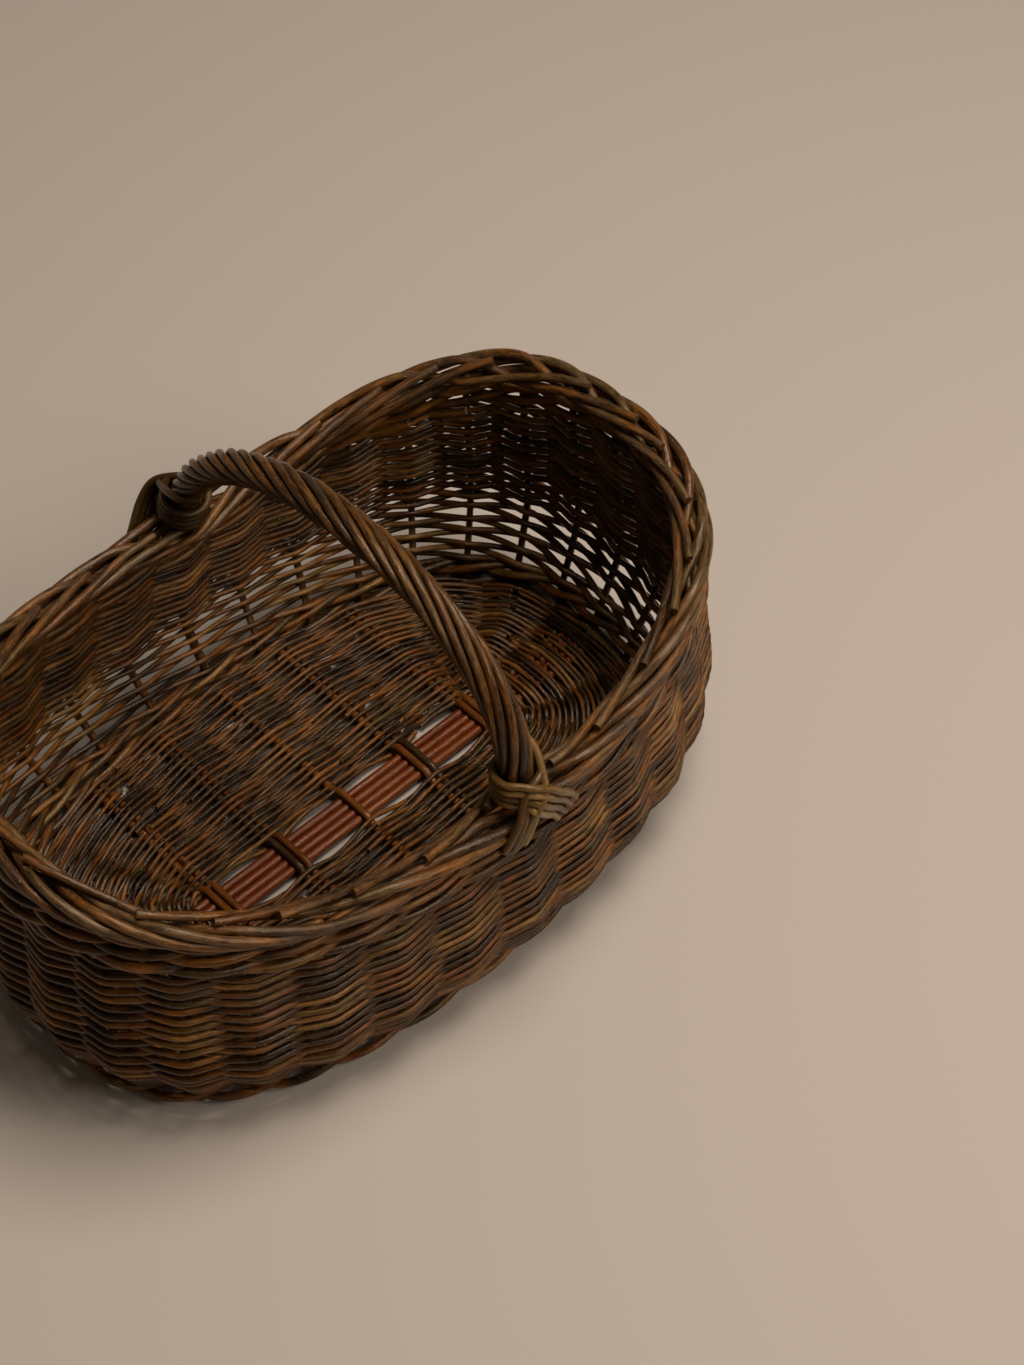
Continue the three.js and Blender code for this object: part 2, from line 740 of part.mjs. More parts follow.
function ropeFrame(k) {
  const before = ropeLine[Math.max(k - 1, 0)];
  const after = ropeLine[Math.min(k + 1, STRAND_STEPS)];
  const along = after.clone().sub(before).normalize();
  return { along, upper: along.clone().cross(across) };
}

function bowLeg(side) {
  const path = [];
  const radii = [];
  const put = (height, inset, radius) => {
    const y = side * (RIM_HALF_WIDTH - tuckAt(height) - inset);
    path.push(new THREE.Vector3(0, y, height));
    radii.push(radius);
  };
  put(UPSETT_TOP + 2 * CLEARANCE, 0, legRadius(UPSETT_TOP));
  put(SWELL_HEIGHT, 0, legRadius(SWELL_HEIGHT));
  put(waleTop, 0, legRadius(waleTop));
  put(footHeight, LEG_INSET, LEG_DIAMETER / 2);
  const borderTop = WALL_TOP + BORDER_ROUTE[4][1] * borderPitch + 2 * stakeRadius;
  path.push(archAt(borderTop, side));
  radii.push(LEG_DIAMETER / 2);
  return { path, radii };
}

function bow() {
  const first = bowLeg(1);
  const last = bowLeg(-1);
  const path = [...first.path, ...ropeLine, ...last.path.toReversed()];
  const ropeRadii = ropeLine.map(() => bowRadius);
  const radii = [...first.radii, ...ropeRadii, ...last.radii.toReversed()];
  return rod(path, radii, BOW_SIDES, () => across);
}
add("handle_bow", bow(), "rope");

function strand(number) {
  const radius = STRAND_DIAMETER / 2;
  const reach = bowRadius + radius + 2 * CLEARANCE;
  const outward = ropeLine.map((_, k) => {
    const { along } = ropeFrame(k);
    const turn = (ropeTurns * k) / STRAND_STEPS + number / STRAND_COUNT;
    return across.clone().applyAxisAngle(along, 2 * Math.PI * turn);
  });
  const path = ropeLine.map((point, k) => point.clone().addScaledVector(outward[k], reach));
  return rod(path, path.map(() => radius), STRAND_SIDES, (k) => outward[k]);
}
for (let number = 0; number < STRAND_COUNT; number += 1) {
  add(`handle_strand_${number + 1}`, strand(number), "rope");
}

// Lashings

// One at each foot of the handle: side is 1 at +Y and -1 at -Y, and they match turned half round.
function lashing(side) {
  const lift = WALL_TOP + LASH_HEIGHT;
  const middle = archAt(lift, side);
  const along = archAt(lift + 1, side).sub(middle).normalize();
  const outer = along.clone().cross(across);
  outer.multiplyScalar(side * Math.sign(outer.y));
  const half = LASH_ROD_DIAMETER / 2;
  const ropeRadius = bowRadius + STRAND_DIAMETER + 2 * CLEARANCE;
  const chord = Math.cos(THREE.MathUtils.degToRad(LASH_TURN / 2));
  const collar = (ropeRadius + 2 * CLEARANCE) / chord + half;
  const seat = half + 2 * CLEARANCE;
  const path = [];
  const normals = [];
  const put = (x, out, up) => {
    path.push(new THREE.Vector3(-side * x, side * (RIM_HALF_WIDTH + out), WALL_TOP + up));
    normals.push(new THREE.Vector3(0, side, 0));
  };
  const round = (degrees) => {
    const angle = THREE.MathUtils.degToRad(degrees);
    const way = across.clone().multiplyScalar(-side * Math.cos(angle));
    way.addScaledVector(outer, Math.sin(angle));
    path.push(middle.clone().addScaledVector(way, collar));
    normals.push(way);
  };
  const station = stationLength(bowStations[0]);
  const seatAt = (x) => borderReach(Math.abs(x) / station) + seat;
  const leg = (spread, shoulderLift) => {
    const knee = LASH_KNEE_SHARE * spread;
    const shoulder = LASH_SHOULDER_SHARE * spread;
    return [
      [spread, seatAt(spread), LASH_LEG_END],
      [knee, seatAt(knee), LASH_KNEE_UP],
      [shoulder, seatAt(shoulder) + shoulderLift, LASH_SHOULDER_UP],
    ];
  };
  const layer = LASH_ROD_DIAMETER + 3 * CLEARANCE;
  const steepLeg = leg(-LASH_NARROW_SPREAD, 0);
  const slantLeg = leg(LASH_WIDE_SPREAD, layer / 2).reverse();
  const crossUp = LASH_HEIGHT - half;
  const ropeOut = side * archAt(ropeFoot, side).y - RIM_HALF_WIDTH + ropeRadius;
  const crossOut = Math.max(ropeOut, steepLeg[2][1] - seat - LASH_ROD_DIAMETER) + seat;
  steepLeg.forEach((place) => put(...place));
  put(0, crossOut, crossUp);
  for (let degrees = 90 - LASH_TURN; degrees >= LASH_TURN - 270; degrees -= LASH_TURN) {
    round(degrees);
  }
  put(0, crossOut + layer, crossUp);
  slantLeg.forEach((place) => put(...place));
  const sections = path.map((point, k) => {
    const before = path[Math.max(k - 1, 0)];
    const after = path[Math.min(k + 1, path.length - 1)];
    const forward = after.clone().sub(before).normalize();
    const normal = normals[k].clone();
    normal.addScaledVector(forward, -normal.dot(forward)).normalize();
    const side = forward.clone().cross(normal);
    const width = (LASH_RODS * LASH_ROD_DIAMETER) / 2;
    const place = (w, d) => point.clone().addScaledVector(side, w).addScaledVector(normal, d);
    const section = [place(width, -half), place(-width, -half)].reverse();
    for (let j = LASH_RODS; j > 0; j -= 1) {
      const edge = width - (LASH_RODS - j) * LASH_ROD_DIAMETER;
      section.push(place(edge - 0.5 * LASH_ROD_DIAMETER, half));
      if (j > 1) section.push(place(edge - LASH_ROD_DIAMETER, 0));
    }
    return section.reverse();
  });
  return loft(sections);
}
add("lashing_1", lashing(1), "lashing");
add("lashing_2", lashing(-1), "lashing");

// All was placed from the plane of the handle. The origin goes under the middle of the rim.
for (const mesh of basket.children) {
  mesh.position.x += RIM_UNEVEN;
}

export default basket;
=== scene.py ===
"""Looks of an oval willow basket with an arched rope handle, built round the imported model.

Shapes are worked out in millimetres and turned to metres when a mesh is made.
"""

import math

import bpy
import numpy as np
from mathutils import Matrix, Vector


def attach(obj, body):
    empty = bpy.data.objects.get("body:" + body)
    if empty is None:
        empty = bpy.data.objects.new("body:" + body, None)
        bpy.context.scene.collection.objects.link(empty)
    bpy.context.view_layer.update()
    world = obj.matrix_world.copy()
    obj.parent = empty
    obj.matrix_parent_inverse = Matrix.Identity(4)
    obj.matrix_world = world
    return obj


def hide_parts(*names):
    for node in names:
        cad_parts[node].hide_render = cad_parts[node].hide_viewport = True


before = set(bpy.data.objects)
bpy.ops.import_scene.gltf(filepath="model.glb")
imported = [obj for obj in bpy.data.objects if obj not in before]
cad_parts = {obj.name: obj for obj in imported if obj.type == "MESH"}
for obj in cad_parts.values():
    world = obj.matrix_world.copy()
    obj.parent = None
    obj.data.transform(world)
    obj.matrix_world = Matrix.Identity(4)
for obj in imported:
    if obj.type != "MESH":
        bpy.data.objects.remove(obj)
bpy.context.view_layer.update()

MM = 0.001

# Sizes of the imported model

RIM_HALF_LENGTH = 228.0
RIM_UNEVEN = 8.0
RIM_HALF_WIDTH = 145.7
OVAL_POWER = 2.57
RIM_RISE = 45.0
UPSETT_TOP = 14.0
SWELL_HEIGHT = 50.0
RAND_TOP = 124.0
WALL_TOP = 145.8
STATIONS = 32
END_CROWDING = 0.13
STAKE_RADIUS = 3.1
STAKE_FOOT = 3.0
WALE_TOP = 141.3
BEND_SHARE = 0.12
BOW_STATIONS = [8, 24]
BASE_MID = 5.9
BASE_INSET = 10.0
LONG_STICK_COUNT = 4
LONG_STICK_PITCH = 5.95
LONG_STICK_RADIUS = 2.8
LONG_STICK_HALF_LENGTH = 190.0
CROSS_STICK_RADIUS = 2.6
CROSS_STICK_SPACING = 51.7
CROSS_STICK_GROUPS = [2, 2, 1, 2, 2]
CROSS_STICK_PITCH = 5.55
CROSS_STICK_MARGIN = 9.0
SPLIT_SHELL = 2.1
STRIP_HALF_WIDTH = 19.2
LEG_INSET = 3.0
LEG_RADIUS = 4.4
LEG_END_RADIUS = 3.0
BOW_RADIUS = 5.0
HANDLE_HEIGHT = 276.6
HANDLE_FOOT = 153.8
HANDLE_POWER = 2.1
HANDLE_LEAN = 19.0
STRAND_COUNT = 9
STRAND_RADIUS = 2.25
ROPE_TIGHT_PITCH = 105.0
ROPE_SLACK_PITCH = 280.0
ROPE_FOOT = 167.8
LASH_RODS = 4
LASH_ROD_RADIUS = 2.35
LASH_HEIGHT = 30.0
LASH_NARROW_SPREAD = 15.0
LASH_WIDE_SPREAD = 25.0
LASH_TURN = 36.0
COLLAR_CORNERS = 9
CLEARANCE = 0.35

# Stakes, border and lashings as they look: rods that taper, run on further and lie closer

STAKE_HEIGHTS = [STAKE_FOOT, 8.0, UPSETT_TOP, 32.0, SWELL_HEIGHT, 70.0, 100.0, WALE_TOP]
LEG_HEIGHTS = [UPSETT_TOP + 1, 32.0, SWELL_HEIGHT, 70.0, 100.0, WALE_TOP]
STAKE_THICKNESS = [0.94, 1.08]
STAKE_WALL_SHARE = 0.77
STAKE_BORDER_SHARE = 1.0
STAKE_TIP_SHARE = 0.8
STAKE_THICKENS_OVER = 0.1
STEPS_BETWEEN_MARKS = 5
BORDER_PITCH = 5.9
# Out from the wall and up, in pitches of the border, at each upright that a stake passes
BORDER_ROUTE = [
    [0, 0],
    [1.1, 0.2],
    [1.45, 1.15],
    [0.7, 1.95],
    [-1.05, 0.4],
    [-1.55, 1.3],
    [-0.75, 2.2],
    [0.5, 2.7],
]
BORDER_MARKS = np.arange(0.5, 6.1, 0.5)
BORDER_STEPS = 6.4
BORDER_END_VARIES = [-0.1, 0.2]
BORDER_WANDER = 0.45
BORDER_REACH = 10.8
LASH_SHOULDER_UP = 16.5
LASH_KNEE_UP = 5.0
LASH_LEG_END = -7.0
LASH_LOOSENESS = 1.08
LASH_WANDER = 0.25
LASH_LEG_SHARES = [1.0, 0.72, 0.36]
LASH_FOOT_OFF = -2.0
# Loose end of a lashing: up from the collar, angle round the rope and lift off it
LOOP_UPS = [-13.0, -6.0, 1.0, 9.0, 17.0, 23.0, 26.0]
LOOP_ANGLES = [108.0, 96.0, 76.0, 48.0, 15.0, -25.0, -75.0]
LOOP_LIFTS = [6.5, 7.0, 5.0, 0.5, -0.8, -0.8, -0.8]

# How far the wall is drawn in from the rim's oval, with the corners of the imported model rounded

TUCK_HEIGHTS = [0.0, 7.0, 14.0, 23.0, 32.0, 41.0, 50.0, 60.0, 75.0, 100.0, WALL_TOP]
TUCKS = [10.5, 9.8, 7.6, 3.0, -2.4, -7.2, -10.2, -11.0, -9.2, -5.8, 0.0]

# Sizes of the weave: the rows get closer, and the rods fill more of them, as the wall rises

ROW_HEIGHTS = [14.0, 44.0, 68.0, 88.0, 130.0]
ROW_PITCHES = [7.1, 6.9, 6.3, 5.7, 5.5]
ROD_FILLS = [1.02, 0.96, 1.04, 1.16, 1.18]
RAND_FOOT = 13.0
TURN_SHARPNESS = 0.993
POINTS_PER_STATION = 8
FIRST_PASSED = -0.45
WEAVE_PAST_RAND = 2
SLOPE_REACH = 3
ROW_WANDER = 0.55
ROD_SLACK = 0.3
WEAVER_THICKNESS = [0.92, 1.06]
WALE_STRANDS = 3
WALE_RADIUS = 2.1
UPSETT_RADIUS = 2.2
UPSETT_FOOT = 3.6
UPSETT_ROUNDS = 1.5
WALE_FOOT = RAND_TOP + 1
WALE_ROUNDS = 2.9
WALE_CLOSENESS = 0.95
WALE_SWING = 0.8
WALE_WANDER = 0.3
WALE_TAPER = [1.08, 0.92]
WALE_MIDDLE_OUT = 0.2
WALE_DEPTH = 1.2

# Sizes of the base as it looks: split sticks, and rows of thin rods from the bare strip outwards

LONG_STICK_POINTS = 60
LONG_STICK_WANDER = 0.12
UPPER_HALF_SHARE = 0.9
LOWER_HALF_SHARE = 0.55
UPPER_HALF_LIFT = 0.7
LOWER_HALF_LIFT = 0.2
LOWER_HALF_MARGIN = 1
UPPER_HALF_POINTS = 70
LOWER_HALF_POINTS = 24
DARK_PAIRS = [1, 3]
DARK_STICK_TONE = 0.05
PALE_STICK_TONES = [0.5, 1.0]
BASE_ROWS = 46
BASE_ROD_RADIUS = 1.5
BASE_FIRST_ROW = [117.0, 15.8]
BASE_LAST_ROW = [214.0, 131.5]
BASE_END_STEPS = 6
BASE_TONES = [0.0, 0.75]
BASE_TURN_POINTS = 2400
BASE_POINT_SPACING = 5
BASE_WANDER = 0.5
BASE_SLACK = 0.3
BASE_THICKNESS = [0.85, 1.12]
STRIP_BOW = 2.4
STRIP_BOW_FADE = 12
FIRST_ROW_SQUARENESS = 5
SQUARENESS_FADE = 3
LEAST_RODS_IN_ROW = 2
ROWS_PER_MORE_ROD = 16

# Sizes of the handle as it looks

ROPE_FINE_POINTS = 2000
CORE_POINTS = 40
CORE_TONE = 0.1
CORE_BELOW_ROPE = 3
STRAND_POINTS = 150
STRAND_TURN_WANDER = 0.05
STRAND_WANDER = 0.25
STRAND_THICKNESS = [1.0, 1.16]


# The wall as a surface

def signed_power(value, power):
    return np.sign(value) * np.abs(value) ** power


def oval_share(angle, power=OVAL_POWER):
    return signed_power(np.cos(angle), 2 / power), signed_power(np.sin(angle), 2 / power)


# Share of the rim's length that is passed at each angle
RIM_POINTS = 2881
RIM_ANGLES = np.linspace(0, 2 * math.pi, RIM_POINTS)
rim_x, rim_y = oval_share(RIM_ANGLES)
rim_steps = np.hypot(np.diff(rim_x) * RIM_HALF_LENGTH, np.diff(rim_y) * RIM_HALF_WIDTH)
RIM_SHARES = np.concatenate([[0], np.cumsum(rim_steps)]) / np.sum(rim_steps)


def station_angle(station):
    """Angle round the oval of an upright. They stand closer together at the ends."""
    turn = np.asarray(station, float) / STATIONS
    moved = turn - END_CROWDING * np.sin(4 * math.pi * turn) / (4 * math.pi)
    return np.interp(moved - np.floor(moved), RIM_SHARES, RIM_ANGLES)


def wall(station, height, out=0.0, up=0.0):
    """Points of the wall: station round the oval, height at mid side, then offsets out and up."""
    sx, sy = oval_share(station_angle(station))
    tuck = np.interp(height, TUCK_HEIGHTS, TUCKS)
    a = RIM_HALF_LENGTH - np.sign(sx) * RIM_UNEVEN - tuck
    b = RIM_HALF_WIDTH - tuck
    nx = signed_power(sx, OVAL_POWER - 1) / a
    ny = signed_power(sy, OVAL_POWER - 1) / b
    size = np.hypot(nx, ny)
    z = height * (1 + RIM_RISE / WALL_TOP * sx**2) + up
    x = a * sx + out * nx / size
    y = b * sy + out * ny / size
    return np.stack(np.broadcast_arrays(x, y, z), -1)


def spline(points, at):
    """Smooth curve through points, at these places counted in points."""
    points = np.asarray(points, float)
    at = np.asarray(at, float)
    first = 2 * points[0] - points[1]
    last = 2 * points[-1] - points[-2]
    padded = np.concatenate([[first], points, [last]])
    k = np.clip(np.floor(at).astype(int), 0, len(points) - 2)
    w = (at - k)[:, None]
    p0, p1, p2, p3 = (padded[k + j] for j in range(4))
    slope1 = (p2 - p0) / 2
    slope2 = (p3 - p1) / 2
    bend2 = 3 * (p2 - p1) - 2 * slope1 - slope2
    bend3 = 2 * (p1 - p2) + slope1 + slope2
    return p1 + slope1 * w + bend2 * w**2 + bend3 * w**3


def smooth(points):
    """The same line with a few more points in each span."""
    spans = len(points) - 1
    return spline(points, np.linspace(0, spans, spans * STEPS_BETWEEN_MARKS + 1))


def wander(count, period, draw):
    """Slow random swings of about one unit, one for every few points."""
    knots = draw.normal(size=count // period + 4)
    at = np.arange(count) / period
    k = at.astype(int)
    w = 0.5 - 0.5 * np.cos(math.pi * (at - k))
    return knots[k] * (1 - w) + knots[k + 1] * w


def unit(vectors):
    return vectors / np.linalg.norm(vectors, axis=-1, keepdims=True)


def length_to(points):
    """Length of a line up to each of its points."""
    steps = np.linalg.norm(np.diff(points, axis=0), axis=1)
    return np.concatenate([[0], np.cumsum(steps)])


# Small helpers for nodes and colours

def linear(hex_colour):
    """sRGB hex to the linear RGBA that a socket takes."""
    parts = [int(hex_colour[k:k + 2], 16) / 255 for k in (1, 3, 5)]
    return [p / 12.92 if p <= 0.04045 else ((p + 0.055) / 1.055) ** 2.4 for p in parts] + [1.0]


def put(tree, kind, inputs=None, **settings):
    """Adds a node with its settings, and sets or links its inputs."""
    node = tree.nodes.new(kind)
    for name, value in settings.items():
        setattr(node, name, value)
    for socket, value in (inputs or {}).items():
        if isinstance(value, bpy.types.NodeSocket):
            tree.links.new(value, node.inputs[socket])
        else:
            node.inputs[socket].default_value = value
    return node


# Materials

# Marks on the bark: width in radii of the rod, then length in mm, coarse enough to show
STREAK_SIZE = [0.55, 9.0]
PATCH_SIZE = [1.6, 32.0]
PORE_SIZE = [0.9, 5.0]
DRIFT_LENGTH = 110.0

# Part of each pattern's values that is used, and what it does
DRIFT_RANGE = [0.25, 0.75]
DRIFT_SHARE = 0.3
STREAK_RANGE = [0.32, 0.7]
BLOOM_RANGE = [0.5, 0.75]
BLOOM_SHARE = 0.22
PORE_RANGE = [0.08, 0.18]
PORE_SHARE = 0.5
PORE_COLOUR = "#8a6c48"
PORE_LIFT = 0.6
SATIN_RANGE = [0.3, 0.7]
SATIN_VARIES = [-0.08, 0.12]
SHEEN_TINT = "#ecd2b6"
RELIEF_DEPTH = 0.5
RELIEF_STRENGTH = 0.9

# Colour sockets of a Mix node, whose names are those of its number sockets too
MIX_SHARE = 0
MIX_FIRST = 6
MIX_SECOND = 7
MIX_RESULT = 2


def willow(name, tones, bloom, sawn_end, roughness, streak_depth):
    """Willow rod in its bark or buff skin: each rod has its own tone, which drifts along it, with
    long streaks, a dull bloom in patches, pale pores and a satin sheen. Sawn ends have their own
    colour."""
    material = bpy.data.materials.new(name)
    material.use_nodes = True
    tree = material.node_tree
    tree.nodes.clear()
    tone = put(tree, "ShaderNodeAttribute", attribute_name="tone").outputs["Fac"]
    along = put(tree, "ShaderNodeAttribute", attribute_name="along").outputs["Fac"]
    skin = put(tree, "ShaderNodeAttribute", attribute_name="skin").outputs["Vector"]
    sawn = put(tree, "ShaderNodeAttribute", attribute_name="cut").outputs["Fac"]
    length = put(tree, "ShaderNodeCombineXYZ", {"Z": along}).outputs["Vector"]
    place = put(tree, "ShaderNodeVectorMath", {0: skin, 1: length}, operation="ADD").outputs[0]
    patterns = {
        "streak": ("ShaderNodeTexNoise", STREAK_SIZE, {"Detail": 4.0, "Roughness": 0.65}),
        "patch": ("ShaderNodeTexNoise", PATCH_SIZE, {"Detail": 2.0, "Roughness": 0.5}),
        "pore": ("ShaderNodeTexVoronoi", PORE_SIZE, {}),
    }
    marks = {}
    for mark, (kind, (wide, long), detail) in patterns.items():
        scale = (1 / wide, 1 / wide, 1 / long)
        spots = put(tree, "ShaderNodeMapping", {"Vector": place, "Scale": scale})
        marks[mark] = put(tree, kind, {"Vector": spots.outputs[0], "Scale": 1.0, **detail})
    streak = marks["streak"].outputs["Fac"]
    patch = marks["patch"].outputs["Fac"]
    pore = marks["pore"].outputs["Distance"]
    drift_at = put(tree, "ShaderNodeMath", {0: along, 1: DRIFT_LENGTH}, operation="DIVIDE")
    drift = put(
        tree,
        "ShaderNodeTexNoise",
        {"W": drift_at.outputs[0], "Scale": 1.0, "Detail": 2.0},
        noise_dimensions="1D",
    )
    changes = {
        "drift": (drift.outputs["Fac"], DRIFT_RANGE, [-DRIFT_SHARE, DRIFT_SHARE]),
        "streak": (streak, STREAK_RANGE, [1 - streak_depth, 1 + streak_depth]),
        "bloom": (patch, BLOOM_RANGE, [0.0, BLOOM_SHARE]),
        "pore": (pore, PORE_RANGE, [PORE_SHARE, 0.0]),
        "satin": (patch, SATIN_RANGE, [roughness + change for change in SATIN_VARIES]),
    }
    amounts = {}
    for mark, (value, old, new) in changes.items():
        ranges = {"From Min": old[0], "From Max": old[1], "To Min": new[0], "To Max": new[1]}
        change = put(tree, "ShaderNodeMapRange", {"Value": value, **ranges})
        amounts[mark] = change.outputs["Result"]
    own = put(tree, "ShaderNodeMath", {0: tone, 1: amounts["drift"]}, operation="ADD")
    ramp = put(tree, "ShaderNodeValToRGB", {"Fac": own.outputs[0]})
    stops = ramp.color_ramp.elements
    for k in range(1, len(tones) - 1):
        stops.new(k / (len(tones) - 1))
    for stop, tone_colour in zip(stops, tones):
        stop.color = linear(tone_colour)
    streaked = put(
        tree,
        "ShaderNodeVectorMath",
        {0: ramp.outputs["Color"], "Scale": amounts["streak"]},
        operation="SCALE",
    )
    colour = streaked.outputs[0]
    layers = [(amounts["bloom"], bloom), (amounts["pore"], PORE_COLOUR), (sawn, sawn_end)]
    for share, layer_colour in layers:
        layer = put(
            tree,
            "ShaderNodeMix",
            {MIX_SHARE: share, MIX_FIRST: colour, MIX_SECOND: linear(layer_colour)},
            data_type="RGBA",
        )
        colour = layer.outputs[MIX_RESULT]
    relief = put(
        tree,
        "ShaderNodeMath",
        {0: amounts["pore"], 1: PORE_LIFT, 2: streak},
        operation="MULTIPLY_ADD",
    )
    bump = put(
        tree,
        "ShaderNodeBump",
        {
            "Height": relief.outputs[0],
            "Strength": RELIEF_STRENGTH,
            "Distance": RELIEF_DEPTH * MM,
        },
    )
    surface = put(
        tree,
        "ShaderNodeBsdfPrincipled",
        {
            "Base Color": colour,
            "Roughness": amounts["satin"],
            "Normal": bump.outputs[0],
            "Specular IOR Level": 0.5,
            "Specular Tint": linear(SHEEN_TINT),
        },
    )
    put(tree, "ShaderNodeOutputMaterial", {"Surface": surface.outputs[0]})
    return material


# Bark dried on thin rods: near black to red brown and ochre, strongly streaked, satin
weaver_bark = willow(
    "unpeeled willow bark, dried",
    ["#1c1009", "#48280d", "#64360f", "#3e2b11", "#2a180a", "#744416", "#503811", "#7e5426"],
    bloom="#56402a",
    sawn_end="#a88a60",
    roughness=0.26,
    streak_depth=0.82,
)
# The same bark on thicker rods: mid browns with a greyer bloom
stake_bark = willow(
    "unpeeled willow bark, thick rods",
    ["#2c1c10", "#4b2c11", "#5e3615", "#3e2b1a", "#683f19", "#4e391d", "#583f26"],
    bloom="#6c563f",
    sawn_end="#52391f",
    roughness=0.26,
    streak_depth=0.82,
)
# The same bark on the twisted rods of the handle: mid browns, one of them paler
rope_bark = willow(
    "unpeeled willow bark, twisted rods",
    ["#2c1b0d", "#462a12", "#5a3817", "#4a3218", "#724c23"],
    bloom="#6a5238",
    sawn_end="#75583a",
    roughness=0.26,
    streak_depth=0.82,
)
# Bark of green willow on the ties: brown to olive tan, with faint streaks
lashing_bark = willow(
    "green willow bark, split rods",
    ["#2a1a0a", "#402910", "#64471f", "#8c6e3c"],
    bloom="#7c6236",
    sawn_end="#86693f",
    roughness=0.3,
    streak_depth=0.45,
)
# Boiled and peeled willow: even red brown, with little streak and a duller sheen
buff_willow = willow(
    "boiled buff willow, red brown",
    ["#562006", "#66290a", "#72330f"],
    bloom="#7c4822",
    sawn_end="#9a7444",
    roughness=0.32,
    streak_depth=0.36,
)
# Boiled and peeled willow of another boil: dark brown to amber
amber_willow = willow(
    "boiled buff willow, amber",
    ["#33210f", "#5a2c0b", "#703e10"],
    bloom="#663f17",
    sawn_end="#9a7444",
    roughness=0.32,
    streak_depth=0.36,
)


# Rods: middle lines that one tree of nodes turns into round rods

def rod_tree():
    tree = bpy.data.node_groups.new("willow_rods", "GeometryNodeTree")
    sockets = [
        ("Middle lines", "INPUT", "NodeSocketGeometry"),
        ("Rod sides", "INPUT", "NodeSocketInt"),
        ("Thickness variation", "INPUT", "NodeSocketFloat"),
        ("Variation length in mm", "INPUT", "NodeSocketFloat"),
        ("Bark", "INPUT", "NodeSocketMaterial"),
        ("Rods", "OUTPUT", "NodeSocketGeometry"),
    ]
    for name, way, kind in sockets:
        tree.interface.new_socket(name, in_out=way, socket_type=kind)
    given = put(tree, "NodeGroupInput")
    radius = put(tree, "GeometryNodeInputNamedAttribute", {"Name": "radius"}, data_type="FLOAT")
    along = put(tree, "GeometryNodeInputNamedAttribute", {"Name": "along"}, data_type="FLOAT")
    swing = put(
        tree,
        "ShaderNodeMath",
        {0: along.outputs[0], 1: given.outputs["Variation length in mm"]},
        operation="DIVIDE",
    )
    noise = put(
        tree,
        "ShaderNodeTexNoise",
        {"W": swing.outputs[0], "Scale": 1.0, "Detail": 1.0},
        noise_dimensions="1D",
    )
    centred = put(tree, "ShaderNodeMath", {0: noise.outputs[0], 1: 0.5}, operation="SUBTRACT")
    share = put(
        tree,
        "ShaderNodeMath",
        {0: centred.outputs[0], 1: given.outputs["Thickness variation"], 2: 1.0},
        operation="MULTIPLY_ADD",
    )
    thick = put(
        tree,
        "ShaderNodeMath",
        {0: radius.outputs[0], 1: share.outputs[0]},
        operation="MULTIPLY",
    )
    lines = put(tree, "GeometryNodeMeshToCurve", {"Mesh": given.outputs["Middle lines"]})
    ring = put(
        tree,
        "GeometryNodeCurvePrimitiveCircle",
        {"Resolution": given.outputs["Rod sides"], "Radius": 1.0},
    )
    corner = put(tree, "GeometryNodeInputPosition")
    ring_skin = put(
        tree,
        "GeometryNodeStoreNamedAttribute",
        {"Geometry": ring.outputs["Curve"], "Name": "skin", "Value": corner.outputs[0]},
        data_type="FLOAT_VECTOR",
        domain="POINT",
    )
    rods = put(
        tree,
        "GeometryNodeCurveToMesh",
        {
            "Curve": lines.outputs[0],
            "Profile Curve": ring_skin.outputs[0],
            "Scale": thick.outputs[0],
            "Fill Caps": True,
        },
    )
    soft = put(tree, "GeometryNodeSetShadeSmooth", {"Geometry": rods.outputs[0]})
    real = put(tree, "GeometryNodeRealizeInstances", {"Geometry": soft.outputs[0]})
    barked = put(
        tree,
        "GeometryNodeSetMaterial",
        {"Geometry": real.outputs[0], "Material": given.outputs["Bark"]},
    )
    put(tree, "NodeGroupOutput", {"Rods": barked.outputs[0]})
    return tree


ROD_TREE = rod_tree()
ROD_INPUTS = {item.name: item.identifier for item in ROD_TREE.interface.items_tree}
CUT_LENGTH = 0.25
LONGEST_ROD = 4000.0


def rod(points, radius, tone, start_along, cut_start=False, cut_end=False):
    """One rod: middle line, radius at each point, tone from 0 to 1, and which ends are sawn."""
    points = np.asarray(points, float)
    radius = np.broadcast_to(np.asarray(radius, float), len(points)).copy()
    cut = np.zeros(len(points))
    if cut_start:
        inner = points[0] + unit(points[1] - points[0]) * CUT_LENGTH
        points = np.concatenate([points[:1], [inner], points[1:]])
        radius = np.concatenate([radius[:1], radius])
        cut = np.concatenate([[1.0], cut])
    if cut_end:
        inner = points[-1] + unit(points[-2] - points[-1]) * CUT_LENGTH
        points = np.concatenate([points[:-1], [inner], points[-1:]])
        radius = np.concatenate([radius, radius[-1:]])
        cut = np.concatenate([cut, [1.0]])
    along = start_along + length_to(points)
    return {"points": points, "radius": radius, "tone": tone, "along": along, "cut": cut}


def drawn_rod(line, radius, draw, tones=(0.0, 1.0), sawn=(True, True)):
    """A rod with a tone, and a place along its bark, drawn at random."""
    tone = draw.uniform(*tones)
    return rod(line, radius, tone, draw.uniform(0, LONGEST_ROD), *sawn)


ORIGIN_SHIFT = [RIM_UNEVEN, 0.0, 0.0]


